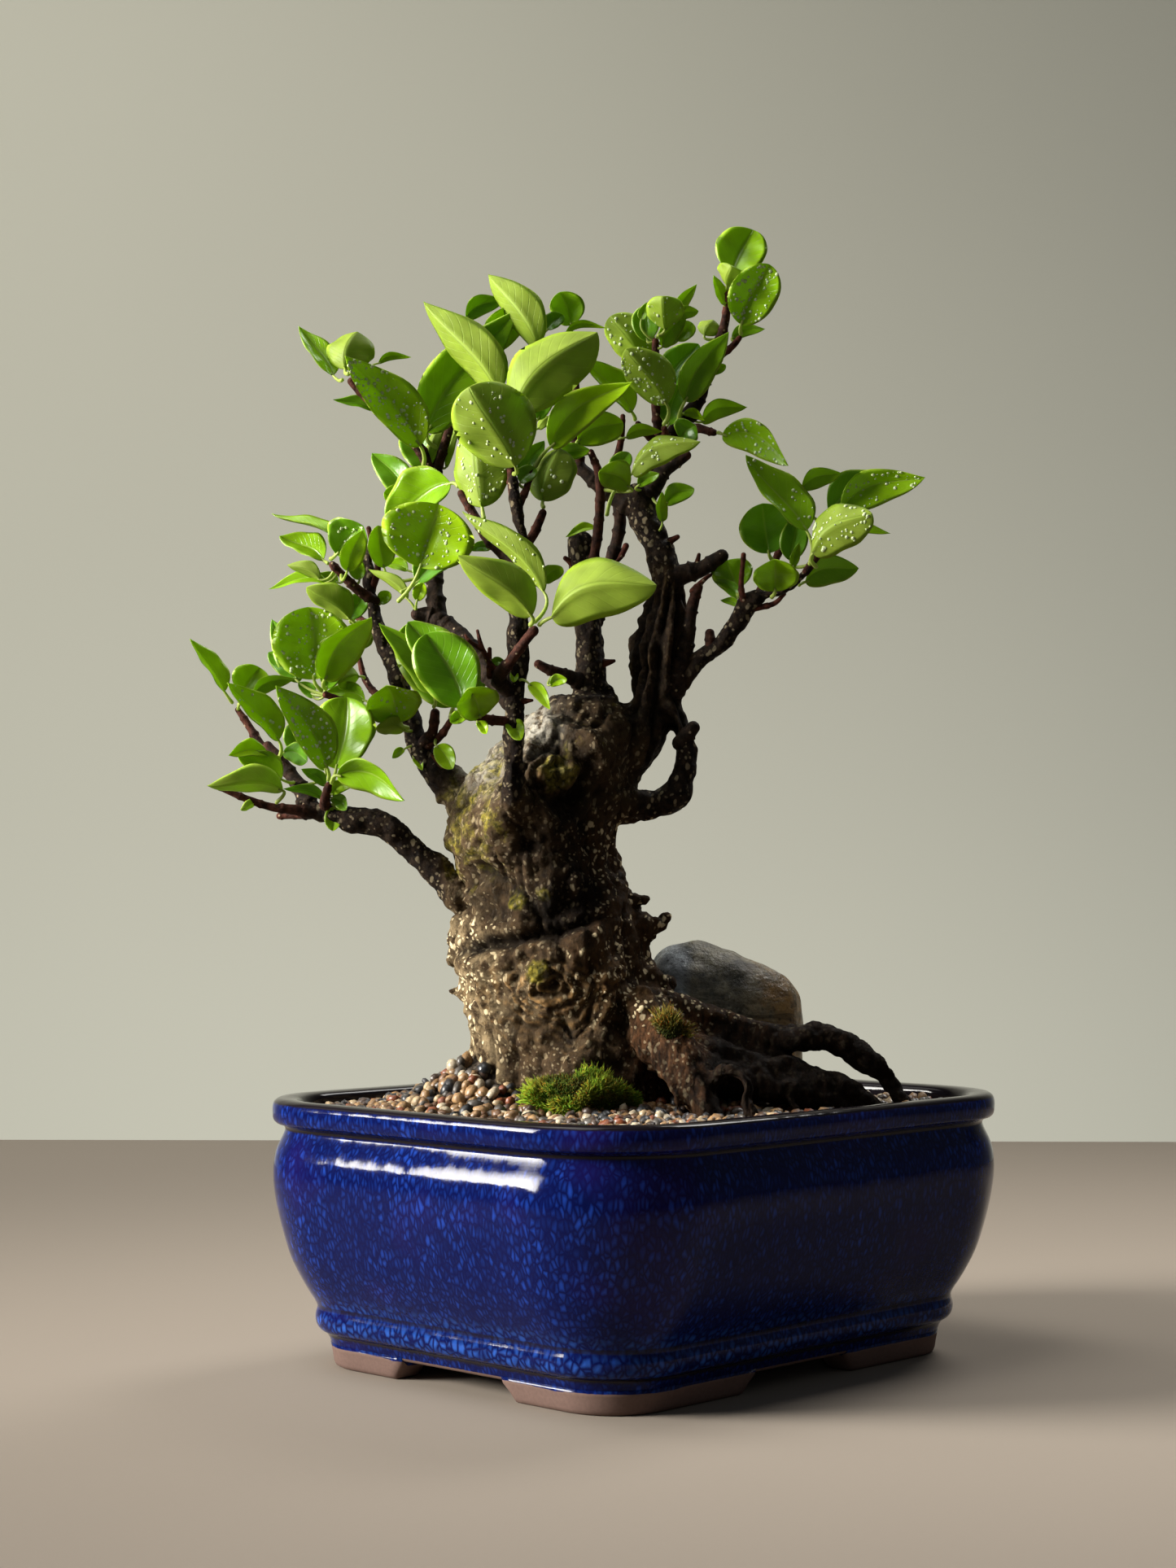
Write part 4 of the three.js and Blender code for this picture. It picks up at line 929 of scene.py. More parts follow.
def make_gravel():
    """Fine grit as a height field, under two thin layers of pebbles on a jittered lattice."""
    random = np.random.default_rng(21)
    shares = np.concatenate([[1.0, 1.0], np.linspace(0.985, 0.03, GRIT_RINGS)])
    rings = POT_MIDDLE + shares[:, None, None] * (outline(FILL_INSET - 0.6, 0.0) - POT_MIDDLE)
    rings[..., 2] = ground(rings) - GRIT_DROP + 0.5 * noise(rings, 3)
    rings[0, :, 2] = GRAVEL_LEVEL - 6
    bed = Skin()
    bed.add_rings(rings)
    bed.piece("grit_bed", grit_finish(), "river_gravel")
    pitch = sizes().pebble / MM * 0.9
    columns, rows = int(POT_LENGTH / pitch), int(POT_WIDTH / (pitch * ROW_SHARE))
    places = []
    for sink, fullness in PEBBLE_LAYERS:
        i, j = np.meshgrid(np.arange(columns), np.arange(rows), indexing="ij")
        spots = np.stack([(i + 0.5 * (j % 2)) * pitch, j * pitch * ROW_SHARE, 0.0 * i], axis=-1)
        spots = spots.reshape(-1, 3) - [POT_LENGTH / 2, POT_WIDTH / 2, 0] + POT_MIDDLE
        spots[:, :2] += random.uniform(-0.42, 0.42, (len(spots), 2)) * pitch
        spots = spots[random.random(len(spots)) < fullness]
        spots = spots[within_fill(spots, 1.2)]
        spots[:, 2] = ground(spots) - sink + random.uniform(-0.5, 0.5, len(spots))
        places.append(spots)
    places = np.concatenate(places)
    wood, rock = tree_of(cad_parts["tree"]), tree_of(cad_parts["river_stone"])
    clear = [not is_inside(wood, p, 1.0) and not is_inside(rock, p, 0.8) for p in places]
    places = places[clear]
    shape, faces = ball(3, 7)
    heap = bell(np.linalg.norm(places[:, :2] - MOUND_AT[:2], axis=1), 34)
    half = sizes().pebble / MM / 2 * random.uniform(0.72, 1.25, len(places)) * (1 + 0.16 * heap)
    stretch = random.uniform([0.95, 0.75, 0.55], [1.35, 1.0, 0.85], (len(places), 3))
    axes = random_turns(len(places), random) * (half[:, None] * stretch)[:, None, :]
    axes = np.swapaxes(axes, 1, 2)
    points, indices = scattered(shape, faces, places, axes)
    lumps = 1 + 0.16 * noise(points, 2.3)[..., None]
    points = places[:, None] + (points - places[:, None]) * lumps
    skin = Skin("tint")
    skin.add(points, indices, tint=np.repeat(random.random(len(places)), len(shape)))
    skin.piece("gravel", pebble_finish(), "river_gravel", "gravel_dressing")


STONE_AT, STONE_HALF, STONE_LEAN = (27.5, 13, 103.5), (25.5, 17, 28), -0.24


def make_stone():
    """A ball squashed by powers of its own height and width, leaning down to the right.

    Each coordinate keeps its sign and is raised to 0.52 across and 0.7 up, then scaled.
    """
    shape, faces = ball(64, 96)
    across = np.sign(shape[:, 0]) * np.abs(shape[:, 0]) ** 0.52
    up = np.sign(shape[:, 2]) * np.abs(shape[:, 2]) ** 0.7
    places = np.stack([
        STONE_AT[0] + across * STONE_HALF[0], STONE_AT[1] + shape[:, 1] * STONE_HALF[1],
        STONE_AT[2] + up * STONE_HALF[2] + STONE_LEAN * across * STONE_HALF[0] * np.maximum(up, 0),
    ], axis=1)
    points = on_plant(places)
    out = unit(points - on_plant(STONE_AT))
    points += (1.5 * fractal(points, 15, 3, 3) + 0.35 * noise(points, 4, 9))[:, None] * out
    skin = Skin("warm", "cool")
    warm = smooth_step(30, 50, places[:, 0] + 5 * noise(points, 9)) * 0.9
    # Painted highlight: pale blue-grey on the left end, where the window light falls on the wet stone.
    cool = smooth_step(18, 12, places[:, 0] + 4 * noise(points, 5)) * 0.9
    skin.add(points, faces, warm=warm, cool=cool)
    skin.piece("stone", stone_finish(), "river_stone", "river_stone")


def strands(roots, directions, length_mm, width, random):
    """Tapering three-sided strands: rings along a bent line that leans out as it rises."""
    count = len(roots)
    share = np.array([0.0, 0.45, 0.8])
    lean = unit(random.normal(size=(count, 3))) * 0.45
    reach = length_mm * random.uniform(0.5, 1.15, count)
    centre = (roots[:, None] + reach[:, None, None] * (share[None, :, None] * directions[:, None]
              + (share ** 2)[None, :, None] * lean[:, None]))
    tip = roots + reach[:, None] * (directions + 1.3 * lean)
    first = unit(np.cross(directions, unit(random.normal(size=(count, 3)))))
    second = np.cross(directions, first)
    angle = np.arange(3) * 2 * np.pi / 3
    wide = width * (1 - 0.6 * share)
    ring = (np.cos(angle)[None, None, :, None] * first[:, None, None]
            + np.sin(angle)[None, None, :, None] * second[:, None, None])
    rings = centre[:, :, None] + wide[None, :, None, None] * ring
    points = np.concatenate([rings.reshape(count, -1, 3), tip[:, None]], axis=1)
    per = points.shape[1]
    sides = grid_faces(3, 3)
    cap = np.array([[6, 7, 9], [7, 8, 9], [8, 6, 9]])
    foot_cap = np.array([[0, 2, 1]])
    offsets = np.arange(count)[:, None, None] * per
    faces = [(part[None] + offsets).reshape(-1, part.shape[1]) for part in (sides, cap, foot_cap)]
    return points, faces, np.tile(np.concatenate([np.repeat(share, 3), [1.0]]), count)


# Cushions by node: middle and half sizes on the drawing, number of strands, how dry and yellow.
MOSS_PADS = {
    "moss_front": ((-19, -36, 83.5), (20, 12, 8), 8500, 0.0),
    "moss_right": ((10.5, -31, 105), (5.5, 6.5, 5.5), 1600, 0.9),
}


def moss_lumps(points, centre):
    """Points moved out from a cushion's centre, or in, by a noise of two sizes."""
    return points + (1.6 * fractal(points, 8, 2, 4) - 0.8)[:, None] * unit(points - on_plant(centre))


def make_moss():
    """Cushions: a lumpy ball for the body, and strands that stand off its front half and lean up."""
    random = np.random.default_rng(5)
    finish = moss_finish()
    for node, (centre, half, count, dry) in MOSS_PADS.items():
        shape, faces = ball(22, 40)
        body = moss_lumps(on_plant(np.array(centre) + shape * np.array(half) * 0.80), centre)
        body[:, 2] = np.maximum(body[:, 2], ground(body) - 1.0)
        skin = Skin("tip", "dry")
        # The body takes tip 0, which is the painted shade under the strands.
        skin.add(body, faces, tip=0.0, dry=dry)
        spots = unit(random.normal(size=(count, 3)))
        spots[:, 1] = -np.abs(spots[:, 1])
        roots = moss_lumps(on_plant(np.array(centre) + spots * np.array(half) * 0.87), centre)
        tufts = noise(roots, 5.5, 13)
        keep = roots[:, 2] > ground(roots) - 0.5
        roots, spots, tufts = roots[keep], spots[keep], tufts[keep]
        out = unit(turned(spots, PLANT_TURN) + [0, 0, 0.6])
        reach = sizes().moss_strand / MM * (0.25 + 0.75 * smooth_step(-0.2, 0.5, tufts))
        points, strand_faces, share = strands(roots, out, reach, 0.32, random)
        # Short tufts keep darker strands: painted shade deep in the cushion.
        bright = np.repeat(0.10 + 0.90 * smooth_step(-0.15, 0.45, tufts), points.shape[1])
        skin.add(points, strand_faces, tip=0.08 + 0.92 * share * bright, dry=dry)
        skin.piece(node + "_cushion", finish, "moss", node)


# ---- Trunk ----

# Trunk sections: [across, back, up, half width across, half width front to back].
TRUNK = [
    (-19, 0, 62, 34, 28), (-19, 0, 78, 38, 31), (-20, -1, 92, 37, 31), (-24, -2, 105, 32, 29),
    (-25, -3, 118, 33, 28), (-27, -4, 128, 34, 29), (-28, -4, 139, 32, 28),
    (-28, -4, 150, 29, 26), (-32, -4, 160, 28, 26), (-35, -4, 170, 29, 27),
    (-35, -4, 180, 29, 27), (-31, -3, 190, 27, 25), (-25, -2, 200, 24, 23),
    (-20, 0, 209, 19, 18), (-18, 0, 216, 12, 12),
]
TRUNK_LOBE, LOBE_TWIST = 0.05, 0.03

# Roots and limbs as stations [across, back, up, radius].
ROOTS = [
    [(-40, 0, 106, 12), (-50, 0, 93, 9), (-58, 0, 81, 7), (-64, 0, 68, 4)],
    [(-20, -18, 106, 12), (-22, -29, 92, 8), (-24, -37, 80, 6), (-26, -44, 68, 4)],
    [(-25, 18, 108, 12), (-28, 34, 95, 9), (-32, 46, 82, 6), (-34, 54, 68, 4)],
    [(0, -18, 112, 10), (10, -28, 102, 8), (17, -34, 91, 7), (22, -40, 79, 6), (26, -44, 66, 4)],
    [(4, -10, 112, 9), (20, -12, 110, 6.5), (36, -14, 106, 5), (50, -15, 104, 4.6),
     (61, -13, 104, 4.4), (69, -11, 100, 4), (75, -9, 95, 3.5), (82, -8, 89, 3),
     (88, -7, 80, 2.6), (91, -7, 70, 2)],
    [(2, -14, 104, 9), (22, -21, 99, 6), (38, -24, 94, 5), (54, -22, 90, 4.6), (67, -19, 87, 4),
     (77, -16, 80, 3.4), (82, -14, 70, 3)],
    [(0, 18, 110, 9), (8, 34, 98, 6), (14, 46, 85, 5), (18, 52, 70, 4)],
    [(22, -30, 84, 3), (24, -37, 88, 2.8), (27.5, -42, 92.5, 2.7), (32, -44, 92.5, 2.7),
     (35.5, -45, 88.5, 2.6), (35, -46, 84, 2.6), (37, -47, 78, 2.4), (39, -47, 68, 2)],
]
FINE_ROOTS = [
    [(4, -12, 101, 15), (22, -12, 97, 12), (38, -13, 93, 10), (52, -13, 88, 7.5),
     (64, -12, 86, 5), (74, -10, 82, 4)],
    [(10, -24, 98, 7), (24, -28, 92, 6), (40, -28, 88, 5), (56, -24, 85, 4), (68, -20, 80, 3)],
    [(6, -24, 103, 2.4), (12, -31, 97, 1.8), (19, -37, 88, 1.4), (22, -42, 78, 1)],
    [(2, -27, 100, 2), (8, -35, 93, 1.5), (12, -41, 84, 1.2), (13, -44, 76, 0.9)],
    [(26, -19, 102, 2), (36, -28, 95, 1.6), (46, -30, 88, 1.3), (52, -31, 79, 1)],
    [(40, -22, 97, 1.8), (49, -24, 96, 1.5), (58, -22, 92, 1.4), (64, -24, 84, 1.1)],
    [(72, -9, 97, 1.6), (79, -10, 95.5, 1.4), (82, -10, 92, 1)],
    [(-2, 20, 104, 3), (6, 28, 97, 2.4), (22, 40, 88, 1.8), (34, 46, 77, 1.2)],
    [(-40, 14, 104, 4), (-52, 24, 95, 3), (-60, 32, 86, 2.4), (-64, 38, 76, 1.6)],
]
SPUR_STUBS = [
    [(-8, -4, 121, 10), (0, -5, 120, 9), (7, -5, 119, 5.5)],
    [(-4, -4, 148, 5), (0.5, -5, 148.5, 2.6), (3, -5, 149, 1)],
    [(-2, -5, 138, 7), (5, -6, 140, 4), (9, -6, 142.5, 1.6)],
    [(-56, -2, 128, 4), (-61, -3, 129, 2.4)],
    [(-57, -3, 119, 3.4), (-60.5, -3, 118, 2)],
]
LOW_LEFT = [
    [(-45, 0, 143, 6), (-57, -1, 149, 5), (-66, -2, 157, 4.2), (-76, -3, 166.5, 4),
     (-85, -4, 173.5, 4), (-95, -4, 175, 3.8), (-104, -3, 177, 3.4), (-110, -2, 180, 3)],
    [(-105, -3, 177, 2.4), (-113, -6, 178, 1.8), (-121, -8, 179, 1.4), (-130, -10, 182, 1.2),
     (-138, -12, 185.5, 1)],
    [(-108, -2, 179, 3), (-112, 0, 186, 2.5), (-117, 2, 193, 2), (-122, 4, 199, 1.7)],
    [(-118, 3, 194, 1.7), (-124, 7, 199, 1.6), (-128, 9, 205, 1.4), (-132, 10, 211, 1)],
    [(-103, -3, 178, 2.2), (-103, -7, 182, 1.6), (-102, -9, 186, 1.2)],
    [(-108, -1, 177, 2), (-113, 2, 176.5, 1.5), (-118, 4, 176, 1.2)],
]
MID_LEFT = [
    [(-46, 5, 180, 8), (-60, 8, 186, 6), (-67, 10, 192, 4.6), (-72, 11, 199, 4.2),
     (-75, 12, 208, 3.2), (-79, 13, 220, 2.8), (-83, 14, 231, 2.6), (-86.5, 15, 242, 2.5),
     (-88.5, 16, 252, 2.3), (-89, 16, 264, 2.2)],
    [(-76, 12, 209, 2), (-84, 8, 210, 1.5), (-92, 5, 212, 1.3), (-103, 2, 216, 1)],
    [(-78, 13, 214, 1.6), (-86, 18, 216, 1.3), (-90, 21, 221, 1.1), (-92, 23, 228, 0.9)],
    [(-87, 15, 247, 2), (-93, 12, 251, 1.6), (-98, 10, 256, 1.4), (-101, 9, 259, 1.2)],
    [(-85, 15, 238, 1.5), (-91, 19, 240.5, 1.2), (-97, 22, 247, 0.9)],
    [(-88, 16, 250, 1.4), (-86, 13, 258, 1.1), (-89, 12, 271, 0.8)],
    [(-72, 10, 199, 2.4), (-68, 6, 203, 1.9), (-67, 4, 210, 1.5)],
    [(-70, 9, 199, 1.8), (-65, 5, 202.5, 1.4), (-62, 1, 207, 1.1)],
]
FRONT = [
    [(-45, -16, 170, 8), (-42, -30, 178, 5.5), (-41, -36, 190, 3.6), (-41, -38, 205, 3.4),
     (-40.5, -38, 216, 3.2), (-39.5, -38, 230, 2.6), (-39.5, -37, 244, 2.5),
     (-38, -36, 256, 2.3), (-38, -35, 266, 2.3), (-40, -34, 276, 2.2), (-41, -34, 287, 1.9)],
    [(-38, -36, 256, 2.1), (-44, -32, 262, 2), (-50, -29, 268, 1.8), (-54, -27, 275, 1.5),
     (-58.5, -26, 282.5, 1.3)],
    [(-38.5, -35, 264, 1.9), (-35, -31, 268, 1.6), (-31.5, -29, 276, 1.3)],
    [(-41, -38, 216, 2.4), (-46, -42, 221, 2.4), (-42, -47, 227, 1.7), (-37, -51, 234, 1.5),
     (-34.5, -52, 237, 1.4)],
    [(-41, -38, 207, 1.7), (-48, -42, 207.5, 1.5), (-55, -45, 209, 1.2)],
    [(-40, -34, 277, 1.5), (-37, -29, 284, 1.2), (-35, -27, 290, 1)],
    [(-41, -34, 282, 1.6), (-42.5, -30, 294, 1.4), (-42, -28, 304, 1.1)],
    [(-42, -29, 300, 1.2), (-38, -21, 314, 1.1), (-35, -18, 326, 0.9)],
]
UPPER_LEFT = [
    [(-42, -36, 214, 3.4), (-48, -33, 222, 3.4), (-55, -28, 231, 3.0), (-62, -22, 238, 3.0),
     (-69, -20, 242, 2.8), (-73, -21, 242.5, 2)],
    [(-66, -20, 241, 3.2), (-67, -17, 250, 2.8), (-67, -13, 262, 2.5), (-68, -8, 276, 2.2),
     (-67, -4, 289, 2), (-63, -2, 302, 1.7), (-60, 0, 313, 1.5), (-56, 2, 323, 1.2)],
    [(-67.5, -5, 286, 1.9), (-72, -8, 297, 1.8), (-79, -12, 304.5, 1.7), (-87, -14, 311.5, 1.6),
     (-95, -16, 320, 1.3)],
]
CENTRE = [
    [(-17, 0, 200, 9), (-16, 0, 222, 5.6), (-17, 0, 240, 5), (-18.5, 0, 254, 4.5),
     (-19.3, 0, 266, 4.2)],
    [(-17, -2, 219, 3), (-24, -6, 222, 2.2), (-29, -8, 224, 1.7), (-33, -9, 226, 1.3)],
    [(-12, 0, 205, 5), (-9.5, -1, 211, 3.6), (-9.3, -1, 217, 2.6)],
    [(-14, 3, 240, 2.6), (-11, 8, 254, 2.2), (-8, 10, 263, 2.1), (-6, 12, 273, 2.1),
     (-7, 14, 282, 1.8)],
    [(-17, -2, 246, 1.9), (-15, -6, 258, 1.7), (-13.5, -8, 268, 1.7), (-12.5, -9, 280, 1.6),
     (-13, -10, 289, 1.4), (-15.5, -10, 296, 1.2)],
]
RIGHT = [
    [(-11, 2, 190, 11), (0, 4, 203, 9), (6, 5, 217, 9.5), (7.5, 5, 230, 9.5), (9.5, 5, 242, 7.5),
     (10, 5, 252, 6.2), (7, 6, 263, 5.4), (3, 7, 272, 5.6), (0, 8, 281, 5)],
    [(-1, 8, 278, 4.4), (-9, 9, 283, 3.4), (-16, 10, 288, 2.6), (-20, 11, 292, 1.8)],
    [(3, 7, 282, 3.4), (9, 5, 290, 2.6), (16, 3, 295, 1.6)],
    [(1, 9, 279, 3.8), (5, 12, 291, 3), (9, 13, 299, 2.8), (14, 13, 304, 2.8),
     (19, 12, 312, 2.6), (22, 12, 320, 2.3), (26, 12, 330, 2.2), (28.7, 12, 339, 1.5),
     (29.5, 12, 350, 0.9)],
    [(-19, 11, 290, 1.8), (-21, 10, 305, 1.5), (-20.5, 9, 318, 1.3), (-22, 8, 334, 0.9)],
    [(27, 12, 328, 1.4), (31, 10, 331, 1.1), (33.5, 9, 334, 0.9)],
    [(8, 13, 298, 2), (6, 8, 310, 1.6), (6, 6, 323, 1.4), (5.7, 5, 333, 1.2)],
    [(12, 13, 303, 2), (19, 9, 304, 1.6), (25, 6, 302.5, 1.2)],
    [(7, 12, 299, 1.6), (3, 7, 302, 1.3), (0, 5, 305.5, 1)],
    [(8, 12, 298, 1.7), (9, 4, 301, 1.4), (8.7, 0, 304, 1)],
    [(-10, 9, 284, 1.7), (-7, 6, 294, 1.3), (-5.5, 5, 301, 1.1), (-5, 5, 308, 0.9)],
    [(10, 5, 254, 4.6), (17, 3, 256, 3.2), (22, 2, 258, 2.7), (27.5, 1, 261.5, 2.4)],
    [(12, 3, 218, 4), (16, 1, 234, 2.6), (17.5, 0, 244, 2), (20, 0, 251.5, 1.4)],
    [(-14, -2, 182, 8), (-2, -2, 179.5, 6), (6, -2, 180, 4.8), (12.5, -2, 184, 4.4),
     (15.5, -1, 194, 3.9), (15, 0, 203, 3.8), (11, 2, 213, 4.6)],
    [(14, -1, 200, 3), (18, -2, 205, 2.2)],
]
FAR_RIGHT = [
    [(8, 4, 212, 6), (14, 3, 222, 4.6), (20, 1, 228, 3.6), (27, -1, 232.5, 3.2),
     (32, -2, 239, 3), (36.5, -3, 246, 2.8), (42, -5, 248.5, 1.8), (50, -8, 252, 1.6),
     (56.5, -10, 257, 1.4)],
    [(24, 0, 231, 1.9), (23.5, 0, 236, 1.6)],
    [(36, -3, 244, 1.7), (34, -5, 250, 1), (34.7, -6, 262, 0.8)],
    [(38, -3, 246, 1.5), (42, 3, 254, 1.3), (46, 6, 262, 1.2), (49, 7, 269, 1)],
    [(55, -9.5, 256, 1.3), (60, -6, 263, 1.1), (64, -4, 270, 0.9)],
]
# Bare twigs, buds and thorns too fine for the frame.
FINE_TWIGS = [
    [(-4, 9, 265, 1.1), (-6, 8, 261, 0.8), (-8, 7, 259, 0.5)],
    [(18, 0, 250, 1.2), (22, 0, 254, 0.8), (24, 0, 255.5, 0.5)],
    [(19, 3, 257, 1.2), (20, 2, 262, 0.7)],
    [(-45, -42, 221, 1.2), (-50, -44, 228, 0.8), (-52, -45, 233, 0.7), (-53, -45, 237, 0.4)],
    [(-52, -45, 231, 0.8), (-56, -46, 234, 0.6), (-57, -46, 235.5, 0.4)],
    [(-49, -43, 222, 1), (-49, -43.5, 231, 0.6)],
    [(-41, -38, 213, 1.2), (-37, -40, 213.8, 0.9), (-35, -41, 214, 0.5)],
    [(-14, 0, 226, 1.8), (-10, -1, 226.5, 1.1), (-8, -1, 227, 0.6)],
    [(37, -3, 244, 1.1), (45, -5, 246, 0.9), (48, -6, 249, 0.6)],
    [(-62, 8, 190, 1.2), (-66, 3, 194, 0.9), (-68, 1, 196, 0.5)],
    [(8, 5, 265, 1.4), (13, 4, 268, 0.8)],
    [(-77, 10, 222, 1), (-73, 8, 226, 0.6)],
    [(-20, -1, 258, 1.3), (-24, -3, 261, 0.8)],
]
BRANCHES = {
    "low_left": LOW_LEFT, "mid_left": MID_LEFT, "front": FRONT, "upper_left": UPPER_LEFT,
    "centre": CENTRE, "right": RIGHT, "far_right": FAR_RIGHT,
}
STOUT = 5.0                    # limbs that start thicker than this are one skin with the trunk
# Hollows and bosses in the bark, as (across, up, reach, depth or height).
HOLLOWS = (
    (-51, 157, 4, 3.4), (-42, 151, 4.5, 3.2), (-46, 144, 3, 2), (-7, 108, 5, 2.6),
    (-30, 145, 7, 2.8), (-36, 166, 5, 2.2), (-14, 150, 5, 1.2), (-24, 104, 4, 1.6),
    (-40, 190, 3.5, 2),
)
BOSSES = (
    (-53, 127, 5, 2.2), (-40, 147.5, 4, 2.8), (-31, 150, 5, 2.2), (-48, 163, 6, 2.0),
    (-18, 135, 6, 1.6), (-57, 133, 4, 2.0), (-22, 158, 6, 1.6), (-14, 196, 7, 2.0),
    (-52, 150, 4, 2.0),
)


def limb_path(stations, spacing=1.1):
    """The points and the radii along the smooth curve through a limb's stations."""
    rows = np.array(stations, float)
    rows[:, :3] = on_plant(rows)
    run = spline(rows, spacing)
    return run[:, :3], np.maximum(run[:, 3], 0.3)


def trunk_rings():
    """Ellipses carried up the trunk's axis, with three shallow lobes that wind as they rise."""
    rows = spline(TRUNK, 2.0)
    angle = all_round(72)
    across, back, up, half_across, half_back = rows.T[..., None]
    lobe = 1 - TRUNK_LOBE + TRUNK_LOBE * np.cos(3 * angle + LOBE_TWIST * up)
    return on_plant(np.stack([
        across + half_across * lobe * np.cos(angle), back + half_back * lobe * np.sin(angle),
        np.broadcast_to(up, lobe.shape)], axis=-1))


def ridged(points, size, seed):
    """Sharp crests where a noise crosses zero, from 0 to 1."""
    return 1 - np.minimum(np.abs(noise(points, size, seed)) * 2.4, 1)


